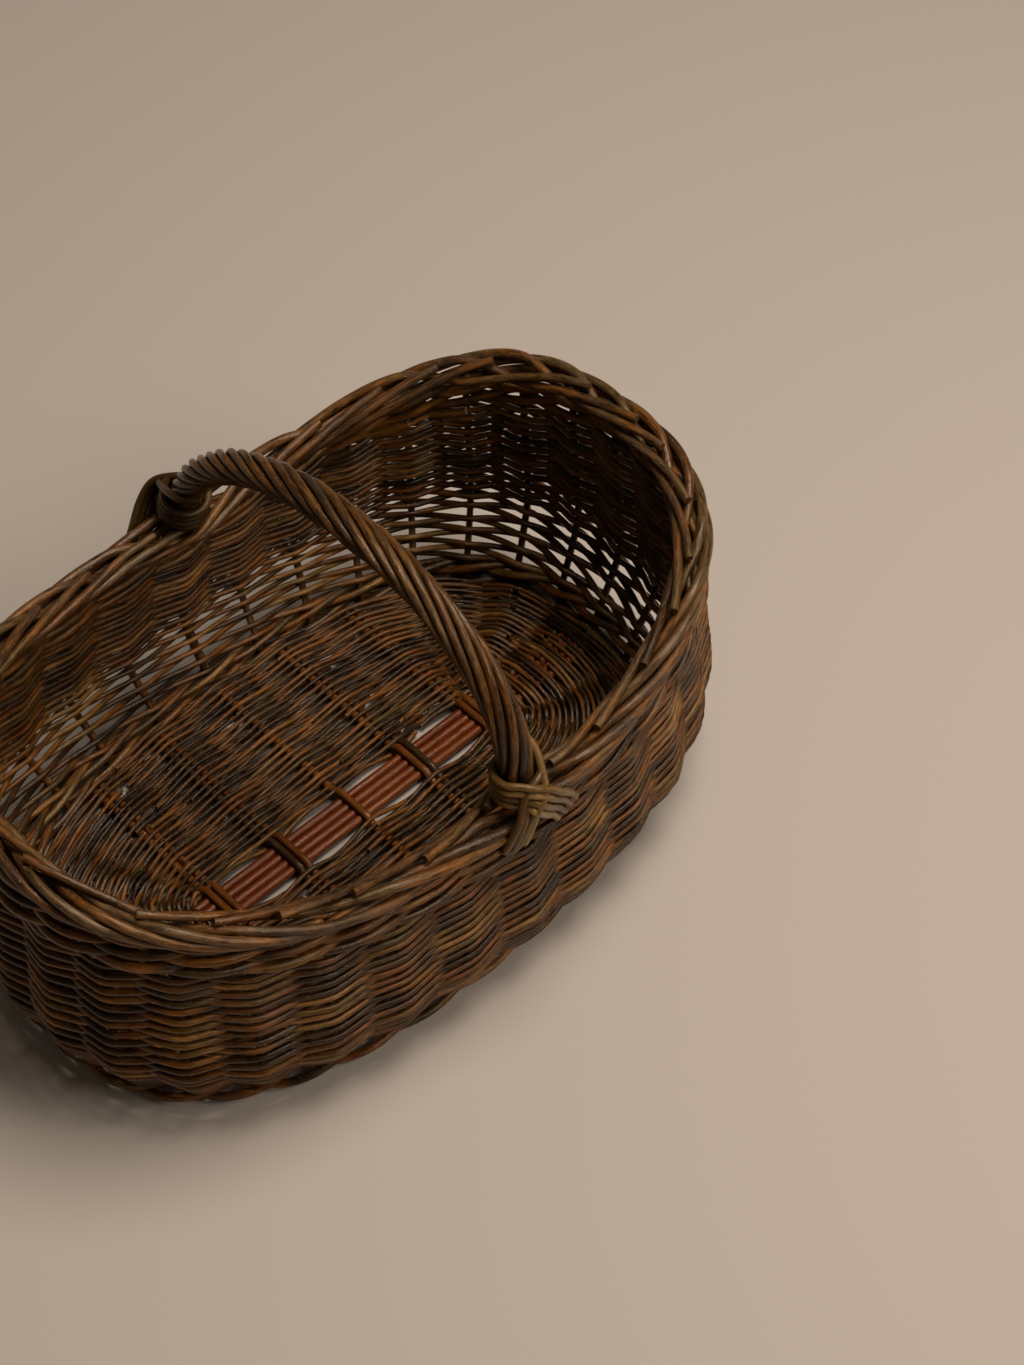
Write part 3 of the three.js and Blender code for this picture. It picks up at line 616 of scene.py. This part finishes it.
def make_piece(name, rods, bark, slot, replaced, sides=8, variation=0.2, variation_length=45.0):
    """All rods of one piece as a plain mesh, in the place of the CAD nodes."""
    points = (np.concatenate([r["points"] for r in rods]) + ORIGIN_SHIFT) * MM
    edges = []
    first = 0
    for r in rods:
        count = len(r["points"])
        edges += [(first + k, first + k + 1) for k in range(count - 1)]
        first += count
    lines = bpy.data.meshes.new(name + "_lines")
    lines.from_pydata(points.tolist(), edges, [])
    columns = {
        "radius": np.concatenate([r["radius"] for r in rods]) * MM,
        "tone": np.concatenate([np.full(len(r["points"]), r["tone"]) for r in rods]),
        "along": np.concatenate([r["along"] for r in rods]),
        "cut": np.concatenate([r["cut"] for r in rods]),
    }
    for column, values in columns.items():
        layer = lines.attributes.new(column, "FLOAT", "POINT")
        layer.data.foreach_set("value", values.astype(np.float32))
    piece = bpy.data.objects.new(name, lines)
    bpy.context.scene.collection.objects.link(piece)
    modifier = piece.modifiers.new("rods", "NODES")
    modifier.node_group = ROD_TREE
    modifier[ROD_INPUTS["Rod sides"]] = sides
    modifier[ROD_INPUTS["Thickness variation"]] = variation
    modifier[ROD_INPUTS["Variation length in mm"]] = variation_length
    modifier[ROD_INPUTS["Bark"]] = bark
    evaluated = piece.evaluated_get(bpy.context.evaluated_depsgraph_get())
    mesh = bpy.data.meshes.new_from_object(evaluated)
    mesh.name = name
    piece.modifiers.remove(modifier)
    piece.data = mesh
    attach(piece, "root")
    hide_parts(*replaced)
    return piece


# Side weave

def nearness(station, bow):
    """1 at a leg of the handle, falling to 0 at the uprights beside it."""
    away = np.abs((np.asarray(station) - bow + STATIONS / 2) % STATIONS - STATIONS / 2)
    return np.clip(1 - away, 0, 1)


def upright_radius(station, height):
    """Radius of the stake, or of the handle's leg, that a row passes at this station."""
    thin = STAKE_RADIUS * STAKE_WALL_SHARE
    radius = np.full(np.shape(station), thin)
    leg = np.interp(height, [UPSETT_TOP, WALL_TOP], [LEG_END_RADIUS, LEG_RADIUS])
    for bow in BOW_STATIONS:
        radius = radius + nearness(station, bow) * (leg - thin)
    return radius


def end_growth(station):
    """The wall is taller at the ends, and the rods there are thicker in step."""
    sx, _ = oval_share(station_angle(station))
    return 1 + RIM_RISE / WALL_TOP * sx**2


def over_under(phase):
    """1 outside an upright, -1 inside the next, with the firm turn that stiff rods make."""
    return np.arcsin(TURN_SHARPNESS * np.cos(math.pi * phase)) / math.asin(TURN_SHARPNESS)


def beside_wall(station, height, side):
    """Points this far outside (or inside) the wall, square to its slope."""
    below = np.interp(height - SLOPE_REACH, TUCK_HEIGHTS, TUCKS)
    above = np.interp(height + SLOPE_REACH, TUCK_HEIGHTS, TUCKS)
    slope = (below - above) / (2 * SLOPE_REACH) / end_growth(station)
    size = np.hypot(1, slope)
    return wall(station, height, side / size, -side * slope / size)


def climb_line():
    """Uprights passed by a rod of the side weave, and its height there."""
    passed = [FIRST_PASSED]
    height = [RAND_FOOT]
    while height[-1] < RAND_TOP + WEAVE_PAST_RAND:
        pitch = np.interp(height[-1], ROW_HEIGHTS, ROW_PITCHES)
        passed.append(passed[-1] + 1 / POINTS_PER_STATION)
        height.append(height[-1] + pitch / 2 / POINTS_PER_STATION)
    return np.array(passed), np.array(height)


def side_weave():
    """From each upright a rod sets out, butt first, in front of one and behind the next."""
    draw = np.random.default_rng(seed=11)
    passed, climb = climb_line()
    pitch = np.interp(climb, ROW_HEIGHTS, ROW_PITCHES)
    thick = pitch / 4 * np.interp(climb, ROW_HEIGHTS, ROD_FILLS)
    rods = []
    for start in range(STATIONS):
        station = start + passed
        radius = thick * draw.uniform(*WEAVER_THICKNESS)
        height = climb + ROW_WANDER * wander(len(passed), period=9, draw=draw)
        slack = ROD_SLACK * np.abs(wander(len(passed), period=7, draw=draw))
        radius = radius * end_growth(station)
        reach = upright_radius(station, height) + radius + slack
        line = beside_wall(station, height, reach * over_under(passed))
        rods.append(drawn_rod(line, radius, draw))
    return rods


def wale(foot, rounds, radius, start, seed):
    """Three rods, each in front of two uprights and behind one, climbing over one another."""
    draw = np.random.default_rng(seed)
    rise = 4 * radius * WALE_CLOSENESS / STATIONS
    rods = []
    for strand in range(WALE_STRANDS):
        passed = np.arange(0, rounds * STATIONS, 1 / POINTS_PER_STATION)
        station = start + strand + passed
        turn = 2 * math.pi * passed / WALE_STRANDS
        height = foot + rise * (passed + strand) - WALE_SWING * radius * np.sin(turn)
        height = height + WALE_WANDER * wander(len(passed), period=8, draw=draw)
        thick = radius * np.linspace(*WALE_TAPER, len(passed)) * end_growth(station)
        reach = upright_radius(station, height) + thick
        swing = WALE_MIDDLE_OUT - WALE_DEPTH * np.cos(turn)
        line = beside_wall(station, height, reach * swing)
        line[:, 2] = np.maximum(line[:, 2], thick + CLEARANCE)
        rods.append(drawn_rod(line, thick, draw))
    return rods


# Stakes and border

BOW_PART_ROOM = LEG_RADIUS + STAKE_RADIUS + 4 * CLEARANCE
OUTER_OUT = BORDER_ROUTE[3][0] * BORDER_PITCH
INNER_OUT = BORDER_ROUTE[6][0] * BORDER_PITCH
INNER_SHIFT = max(BOW_PART_ROOM + INNER_OUT + LEG_INSET, 0)
OUTER_SHIFT = max(BOW_PART_ROOM - OUTER_OUT - LEG_INSET, 0)


def leg_shift(station, out):
    """The border's rods part to let a leg of the handle through."""
    shift = np.zeros(np.shape(station))
    for bow in BOW_STATIONS:
        shift = shift + nearness(station, bow) * np.where(out < 0, -INNER_SHIFT, OUTER_SHIFT)
    return shift


def border_line(station, step):
    """Points of the border where the stake of a station has passed so many uprights."""
    route = spline(np.array(BORDER_ROUTE) * BORDER_PITCH, step)
    at = station - step
    return wall(at, WALL_TOP, route[:, 0] + leg_shift(at, route[:, 0]), route[:, 1])


def stakes():
    """Each stake stands in the wall, bends at the rim and runs on into the rolled border."""
    draw = np.random.default_rng(seed=23)
    rods = []
    for station in range(STATIONS):
        if station in BOW_STATIONS:
            continue
        upright = wall(station, np.array(STAKE_HEIGHTS))
        bend = wall(station - BEND_SHARE, np.array([WALL_TOP]))
        end = BORDER_STEPS + draw.uniform(*BORDER_END_VARIES)
        border = border_line(station, np.append(BORDER_MARKS, end))
        border = border + draw.normal(size=3) * BORDER_WANDER
        knots = np.concatenate([upright, bend, border])
        line = smooth(knots)
        rim = len(upright) / (len(knots) - 1)
        shares = [STAKE_WALL_SHARE, STAKE_WALL_SHARE, STAKE_BORDER_SHARE, STAKE_TIP_SHARE]
        places = [0, rim, rim + STAKE_THICKENS_OVER, 1]
        thick = np.interp(np.linspace(0, 1, len(line)), places, shares)
        radius = STAKE_RADIUS * draw.uniform(*STAKE_THICKNESS) * thick
        rods.append(drawn_rod(line, radius, draw, sawn=(False, True)))
    return rods


# Base

def base_half_width(x):
    """Half of the base's width at this distance from its middle."""
    a = RIM_HALF_LENGTH - math.copysign(RIM_UNEVEN, x) - BASE_INSET
    b = RIM_HALF_WIDTH - BASE_INSET
    return b * (1 - abs(x / a) ** OVAL_POWER) ** (1 / OVAL_POWER)


def long_sticks():
    """Round sticks along the middle of the base."""
    draw = np.random.default_rng(seed=31)
    rods = []
    for k in range(LONG_STICK_COUNT):
        x = np.linspace(-LONG_STICK_HALF_LENGTH, LONG_STICK_HALF_LENGTH, LONG_STICK_POINTS)
        middle = (k - (LONG_STICK_COUNT - 1) / 2) * LONG_STICK_PITCH
        y = middle + LONG_STICK_WANDER * wander(len(x), period=8, draw=draw)
        line = np.stack([x, y, np.full(len(x), BASE_MID)], -1)
        rods.append(drawn_rod(line, LONG_STICK_RADIUS, draw, sawn=(False, False)))
    return rods


def cross_sticks():
    """Each cross stick is split in the middle, and its two halves bow round the long sticks. The
    upper half runs the whole length, and the outer stick of the dark pairs is darker."""
    draw = np.random.default_rng(seed=37)
    bundle = LONG_STICK_COUNT * LONG_STICK_PITCH / 2
    lift = LONG_STICK_RADIUS + CLEARANCE + SPLIT_SHELL / 2
    upper_radius = UPPER_HALF_SHARE * CROSS_STICK_RADIUS
    lower_radius = LOWER_HALF_SHARE * CROSS_STICK_RADIUS
    half_points = {1: UPPER_HALF_POINTS, -1: LOWER_HALF_POINTS}
    half_radius = {1: upper_radius, -1: lower_radius}
    half_lift = {1: lift + UPPER_HALF_LIFT, -1: lift - LOWER_HALF_LIFT}
    rods = []
    for group, count in enumerate(CROSS_STICK_GROUPS):
        middle = (group - (len(CROSS_STICK_GROUPS) - 1) / 2) * CROSS_STICK_SPACING
        for k in range(count):
            x = middle + (k - (count - 1) / 2) * CROSS_STICK_PITCH
            reach = base_half_width(x) - CROSS_STICK_MARGIN
            outer = count == 2 and (k == 0) == (group < 2)
            dark = outer and group in DARK_PAIRS
            tone = DARK_STICK_TONE if dark else draw.uniform(*PALE_STICK_TONES)
            half_end = {1: reach, -1: STRIP_HALF_WIDTH + LOWER_HALF_MARGIN}
            for way in (1, -1):
                y = np.linspace(-half_end[way], half_end[way], half_points[way])
                over = np.clip((STRIP_HALF_WIDTH - np.abs(y)) / (STRIP_HALF_WIDTH - bundle), 0, 1)
                over = over * over * (3 - 2 * over)
                z = BASE_MID + way * half_lift[way] * over
                line = np.stack([np.full(len(y), x), y, z], -1)
                radius = CROSS_STICK_RADIUS + (half_radius[way] - CROSS_STICK_RADIUS) * over
                rods.append(rod(line, radius, tone, draw.uniform(0, LONGEST_ROD), True, True))
    return rods


LAST_RIB = (len(CROSS_STICK_GROUPS) - 1) / 2
HALF_ROUND = 2 * LAST_RIB + BASE_END_STEPS
SIDE_END = LAST_RIB * CROSS_STICK_SPACING
BASE_TURN = np.linspace(-math.pi / 2, 3 * math.pi / 2, BASE_TURN_POINTS)


def base_row(share, power):
    """Evenly spaced points of a row: x, y, its turn round the oval and the half length there."""
    a = BASE_FIRST_ROW[0] + share * (BASE_LAST_ROW[0] - BASE_FIRST_ROW[0])
    b = BASE_FIRST_ROW[1] + share * (BASE_LAST_ROW[1] - BASE_FIRST_ROW[1])
    sx, sy = oval_share(BASE_TURN, power)
    half_length = a - np.sign(sx) * RIM_UNEVEN * share
    ring = np.stack([half_length * sx, b * sy, BASE_TURN, half_length], -1)
    gone = length_to(ring[:, :2])
    even = np.linspace(0, gone[-1], int(gone[-1] / BASE_POINT_SPACING))
    return [np.interp(even, gone, ring[:, k]) for k in range(4)]


def ribs_passed(x, y, turned, half_length, power):
    """Ribs passed so far: cross sticks along the sides, and as many steps round each end."""
    upper_side = LAST_RIB - x / CROSS_STICK_SPACING
    lower_side = HALF_ROUND + LAST_RIB + x / CROSS_STICK_SPACING
    end_angle = np.arccos((SIDE_END / half_length) ** (power / 2))
    past_axis = turned - np.where(x < 0, math.pi, 0)
    round_end = BASE_END_STEPS * (past_axis / end_angle + 1) / 2
    round_end = round_end + 2 * LAST_RIB + np.where(x < 0, 0, HALF_ROUND)
    return np.where(np.abs(x) > SIDE_END, round_end, np.where(y > 0, upper_side, lower_side))


def base_weave():
    """Thin rods, each over one stick and under the next, from the bare strip out to the stakes."""
    draw = np.random.default_rng(seed=41)
    rods = []
    for row in range(BASE_ROWS):
        share = row / (BASE_ROWS - 1)
        power = OVAL_POWER + FIRST_ROW_SQUARENESS * (1 - share) ** SQUARENESS_FADE
        x, y, turned, half_length = base_row(share, power)
        phase = ribs_passed(x, y, turned, half_length, power)
        nx, ny = np.gradient(x), np.gradient(y)
        size = np.hypot(nx, ny)
        radius = BASE_ROD_RADIUS * draw.uniform(*BASE_THICKNESS)
        bow = STRIP_BOW * (1 - share) ** STRIP_BOW_FADE * np.sin(math.pi * phase) ** 2
        spread = BASE_WANDER * wander(len(x), period=9, draw=draw) + bow
        slack = BASE_SLACK * wander(len(x), period=8, draw=draw)
        reach = CROSS_STICK_RADIUS + radius + slack
        z = BASE_MID + reach * over_under(phase + row)
        z = np.maximum(z, radius + CLEARANCE)
        line = np.stack([x + spread * ny / size, y - spread * nx / size, z], -1)
        line = np.roll(line, int(draw.integers(len(line))), axis=0)
        for part in np.array_split(line, LEAST_RODS_IN_ROW + row // ROWS_PER_MORE_ROD):
            rods.append(drawn_rod(part, radius, draw, BASE_TONES))
    return rods


# Handle

ARCH_RISE = HANDLE_HEIGHT - HANDLE_FOOT
ARCH_HALF_SPAN = RIM_HALF_WIDTH - LEG_INSET
ACROSS = np.array([1.0, 0.0, 0.0])
ROPE_RADIUS = BOW_RADIUS + 2 * STRAND_RADIUS + 2 * CLEARANCE


def arch_point(angle):
    """Points of the arch, from the +Y foot at 0 to the -Y foot at half a turn."""
    y = ARCH_HALF_SPAN * signed_power(np.cos(angle), 2 / HANDLE_POWER)
    z = HANDLE_FOOT + ARCH_RISE * np.abs(np.sin(angle)) ** (2 / HANDLE_POWER)
    return np.stack(np.broadcast_arrays(0.0 * y, y - HANDLE_LEAN * np.sin(angle), z), -1)


def arch_angle(height):
    """Angle of the arch at this height above the floor."""
    return math.asin(((height - HANDLE_FOOT) / ARCH_RISE) ** (HANDLE_POWER / 2))


def arch_at(height, side):
    """Point of the arch at this height, on the +Y side (1) or the -Y side (-1)."""
    angle = arch_angle(height)
    return arch_point(angle if side > 0 else math.pi - angle)


def rope_line(count):
    """Evenly spaced points of the rope's middle line, the way it runs there and its length."""
    start = arch_angle(ROPE_FOOT)
    dense = arch_point(np.linspace(start, math.pi - start, ROPE_FINE_POINTS))
    gone = length_to(dense)
    even = np.linspace(0, gone[-1], count)
    line = np.stack([np.interp(even, gone, dense[:, k]) for k in range(3)], -1)
    return line, unit(np.gradient(line, axis=0)), even


def bow_leg(side):
    """A leg of the bow, from the foot of the wall to just below the rope."""
    heights = np.array(LEG_HEIGHTS)
    out = RIM_HALF_WIDTH - np.interp(heights, TUCK_HEIGHTS, TUCKS)
    in_wall = np.stack([0 * heights, side * out, heights], -1)
    above = [arch_at(HANDLE_FOOT, side), arch_at(ROPE_FOOT - CORE_BELOW_ROPE, side)]
    return np.concatenate([in_wall, above])


def handle_core():
    """The bow inside the rope, with a leg in each wall."""
    first = bow_leg(1)
    last = bow_leg(-1)[::-1]
    arch, _, _ = rope_line(CORE_POINTS)
    line = np.concatenate([first, arch, last])
    legs = np.interp(line[:, 2], [UPSETT_TOP, WALL_TOP], [LEG_END_RADIUS, LEG_RADIUS])
    radii = np.where(line[:, 2] >= ROPE_FOOT - 0.1, BOW_RADIUS, legs)
    return [rod(line, radii, CORE_TONE, start_along=0.0)]


def handle_rope():
    """Rods laid round the bow, twisted hard at the +Y foot and less and less towards the other."""
    draw = np.random.default_rng(seed=53)
    line, along, gone = rope_line(STRAND_POINTS)
    upper = np.cross(along, ACROSS)
    reach = BOW_RADIUS + STRAND_RADIUS + 2 * CLEARANCE
    tight = 1 / ROPE_TIGHT_PITCH
    loss = (tight - 1 / ROPE_SLACK_PITCH) / gone[-1]
    turns = tight * gone - loss * gone**2 / 2
    rods = []
    for strand in range(STRAND_COUNT):
        turn = 2 * math.pi * (turns + strand / STRAND_COUNT)
        turn = turn + STRAND_TURN_WANDER * wander(len(line), period=16, draw=draw)
        out = ACROSS * np.cos(turn)[:, None] + upper * np.sin(turn)[:, None]
        away = reach + STRAND_WANDER * wander(len(line), period=12, draw=draw)
        path = line + out * away[:, None]
        radius = STRAND_RADIUS * draw.uniform(*STRAND_THICKNESS)
        rods.append(drawn_rod(path, radius, draw))
    return rods


def handle_frame(height, side):
    """Middle of the handle at this height, and the way out from the basket there."""
    middle = arch_at(height, side)
    along = unit(arch_at(height + 1, side) - middle)
    outer = np.cross(along, ACROSS)
    return middle, outer * side * np.sign(outer[1])


def lashing_leg(spread, lift_off):
    """Foot, knee and shoulder of a leg of the lashing: along the wall, out from it, and up."""
    ups = [LASH_LEG_END, LASH_KNEE_UP, LASH_SHOULDER_UP]
    seat = LASH_ROD_RADIUS + 2 * CLEARANCE
    leg = []
    for share, up, off in zip(LASH_LEG_SHARES, ups, [LASH_FOOT_OFF, 0, lift_off]):
        leg.append([share * spread, BORDER_REACH + seat + off, up])
    return leg


def lashing_path(side):
    """Middle line of a lashing and the way out from what it lies on."""
    middle, outer = handle_frame(WALL_TOP + LASH_HEIGHT, side)
    turn = math.radians(LASH_TURN)
    collar = ROPE_RADIUS + 2 * CLEARANCE + LASH_ROD_RADIUS
    seat = LASH_ROD_RADIUS + 2 * CLEARANCE
    layer = 2 * LASH_ROD_RADIUS + 3 * CLEARANCE
    steep = lashing_leg(-LASH_NARROW_SPREAD, 0.0)
    slant = lashing_leg(LASH_WIDE_SPREAD, layer / 2)[::-1]
    rope_out = side * arch_at(ROPE_FOOT, side)[1] - RIM_HALF_WIDTH + ROPE_RADIUS
    cross_out = max(rope_out, steep[2][1] - seat - 2 * LASH_ROD_RADIUS) + seat
    cross_up = LASH_HEIGHT - LASH_ROD_RADIUS
    path = []
    ways = []
    for x, out, up in steep + [[0.0, cross_out, cross_up]]:
        path.append([-side * x, side * (RIM_HALF_WIDTH + out), WALL_TOP + up])
        ways.append([0.0, side, 0.0])
    for k in range(COLLAR_CORNERS):
        angle = math.pi / 2 - turn * (k + 1)
        way = -side * ACROSS * math.cos(angle) + outer * math.sin(angle)
        path.append(middle + way * collar)
        ways.append(way)
    for x, out, up in [[0.0, cross_out + layer, cross_up]] + slant:
        path.append([-side * x, side * (RIM_HALF_WIDTH + out), WALL_TOP + up])
        ways.append([0.0, side, 0.0])
    return np.array(path), unit(np.array(ways))


def lashing_loop(side):
    """The rod's end, from the crossing up the side of the rope and round behind it."""
    points = []
    for up, angle, off in zip(LOOP_UPS, LOOP_ANGLES, LOOP_LIFTS):
        middle, outer = handle_frame(WALL_TOP + LASH_HEIGHT + up, side)
        turn = math.radians(angle)
        way = -side * ACROSS * math.cos(turn) + outer * math.sin(turn)
        reach = ROPE_RADIUS + CLEARANCE + LASH_ROD_RADIUS + off
        points.append(middle + way * reach)
    return np.array(points)


def lashing(side, seed, tones):
    """A flat band of rods round the handle's foot, crossed over the border."""
    draw = np.random.default_rng(seed)
    path, ways = lashing_path(side)
    line = smooth(path)
    out = unit(smooth(ways))
    forward = unit(np.gradient(line, axis=0))
    out = unit(out - forward * np.sum(out * forward, axis=1, keepdims=True))
    across = np.cross(forward, out)
    rods = []
    for k in range(LASH_RODS):
        place = (k - (LASH_RODS - 1) / 2) * 2 * LASH_ROD_RADIUS * LASH_LOOSENESS
        lift = LASH_WANDER * wander(len(line), period=8, draw=draw)
        rod_line = line + across * place + out * lift[:, None]
        rods.append(drawn_rod(rod_line, LASH_ROD_RADIUS, draw, tones))
    loop = smooth(lashing_loop(side))
    rods.append(rod(loop, LASH_ROD_RADIUS, draw.uniform(*tones), 0.0, True, True))
    return rods


# Pieces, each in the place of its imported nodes

STAKE_NODES = [f"stake_{k:02d}" for k in range(1, STATIONS - 1)]
STRAND_NODES = [f"handle_strand_{k}" for k in range(1, STRAND_COUNT + 1)]
LONG_NODES = [f"base_long_stick_{k}" for k in range(1, LONG_STICK_COUNT + 1)]
CROSS_NODES = [f"base_cross_stick_{k}" for k in range(1, sum(CROSS_STICK_GROUPS) + 1)]
WEAVER = (weaver_bark, "weaver_willow")
STAKE = (stake_bark, "stake_willow")
BASE_STICK = (buff_willow, "base_stick")
CROSS_STICK = (amber_willow, "cross_stick")
ROPE = (rope_bark, "handle_willow")
LASHING = (lashing_bark, "lashing_willow")
# Two tone ranges of one bark for the two ties: the far tie's dark tones are painted shade, the
# near tie's pale tones painted highlight
SHADED_LASHING_TONES = [0.0, 0.35]
LIT_LASHING_TONES = [0.45, 1.0]
upsett_rods = wale(UPSETT_FOOT, UPSETT_ROUNDS, UPSETT_RADIUS, start=0, seed=61)
wale_rods = wale(WALE_FOOT, WALE_ROUNDS, WALE_RADIUS, start=3, seed=67)
make_piece("side_weave_rods", side_weave(), *WEAVER, ["open_weave", "side_rand"], sides=7)
make_piece("upsett_rods", upsett_rods, *WEAVER, ["upsett_wale"], sides=7)
make_piece("top_wale_rods", wale_rods, *WEAVER, ["top_wale"], sides=8)
make_piece("stake_rods", stakes(), *STAKE, STAKE_NODES, sides=9)
make_piece("long_stick_rods", long_sticks(), *BASE_STICK, LONG_NODES, sides=14, variation=0.1)
make_piece("cross_stick_rods", cross_sticks(), *CROSS_STICK, CROSS_NODES, sides=12, variation=0.1)
make_piece("base_weave_rods", base_weave(), *WEAVER, ["base_weave"], sides=6)
make_piece("handle_core_rod", handle_core(), *ROPE, ["handle_bow"], sides=10, variation=0.0)
make_piece(
    "handle_rope_rods",
    handle_rope(),
    *ROPE,
    STRAND_NODES,
    sides=9,
    variation=0.16,
    variation_length=70.0,
)
# The far tie takes the dark tones as painted shade, the near tie the pale tones as painted
# highlight
lashing_rods_1 = lashing(side=1, seed=71, tones=SHADED_LASHING_TONES)
lashing_rods_2 = lashing(side=-1, seed=73, tones=LIT_LASHING_TONES)
make_piece("lashing_rods_1", lashing_rods_1, *LASHING, ["lashing_1"], sides=9)
make_piece("lashing_rods_2", lashing_rods_2, *LASHING, ["lashing_2"], sides=9)

# Floor, light and camera

FLOOR_HALF = 6.0
floor_mesh = bpy.data.meshes.new("floor")
floor_signs = [(-1, -1), (1, -1), (1, 1), (-1, 1)]
floor_corners = [(x * FLOOR_HALF, y * FLOOR_HALF, 0) for x, y in floor_signs]
floor_mesh.from_pydata(floor_corners, [], [(0, 1, 2, 3)])
floor = bpy.data.objects.new("floor", floor_mesh)
bpy.context.scene.collection.objects.link(floor)
paper = bpy.data.materials.new("matt paper backdrop, sand colour")
paper.use_nodes = True
paper_look = paper.node_tree.nodes["Principled BSDF"]
paper_look.inputs["Base Color"].default_value = linear("#b8a99a")
paper_look.inputs["Roughness"].default_value = 0.92
floor_mesh.materials.append(paper)

world = bpy.data.worlds.new("studio")
bpy.context.scene.world = world
world.use_nodes = True
room_light = world.node_tree.nodes["Background"]
room_light.inputs["Color"].default_value = linear("#fff0dc")
room_light.inputs["Strength"].default_value = 0.08


def softbox(name, place, aim, size, watts, colour):
    """A round lamp with a soft edge to its shadows, aimed at a point; places are in metres."""
    light = bpy.data.lights.new(name, "AREA")
    light.shape = "DISK"
    light.size = size
    light.energy = watts
    light.color = linear(colour)[:3]
    lamp = bpy.data.objects.new(name, light)
    bpy.context.scene.collection.objects.link(lamp)
    way = Vector(aim) - Vector(place)
    turn = way.to_track_quat("-Z", "Y").to_matrix().to_4x4()
    lamp.matrix_world = Matrix.Translation(place) @ turn


softbox(
    "key",
    place=(0.5, -0.3, 2.3),
    aim=(0.1, -0.05, 0.0),
    size=1.1,
    watts=40.0,
    colour="#fffaf5",
)
softbox(
    "fill",
    place=(0.75, -1.75, 1.9),
    aim=(0.0, 0.0, 0.1),
    size=1.2,
    watts=24.0,
    colour="#fffaf5",
)

# Camera of the photograph, in the 1024 by 1365 frame

CAMERA_TURN = math.radians(-43.94)
CAMERA_RISE = math.radians(51.21)
CAMERA_DISTANCE = 1726.8
CAMERA_AIM = Vector((149.83, 7.15, 0.0))
FOCAL_PIXELS = 2700.0
FRAME_HEIGHT = 1365.0
SENSOR = 36.0
back = Vector(
    (
        math.sin(CAMERA_TURN) * math.cos(CAMERA_RISE),
        -math.cos(CAMERA_TURN) * math.cos(CAMERA_RISE),
        math.sin(CAMERA_RISE),
    )
)
right = Vector((math.cos(CAMERA_TURN), math.sin(CAMERA_TURN), 0.0))
camera_data = bpy.data.cameras.new("camera")
camera_data.sensor_width = SENSOR
camera_data.lens = SENSOR * FOCAL_PIXELS / FRAME_HEIGHT
camera = bpy.data.objects.new("camera", camera_data)
bpy.context.scene.collection.objects.link(camera)
camera_turn = Matrix((right, back.cross(right), back)).transposed().to_4x4()
camera_place = (CAMERA_AIM + back * CAMERA_DISTANCE) * MM
camera.matrix_world = Matrix.Translation(camera_place) @ camera_turn
bpy.context.scene.camera = camera
bpy.context.scene.view_settings.view_transform = "Standard"
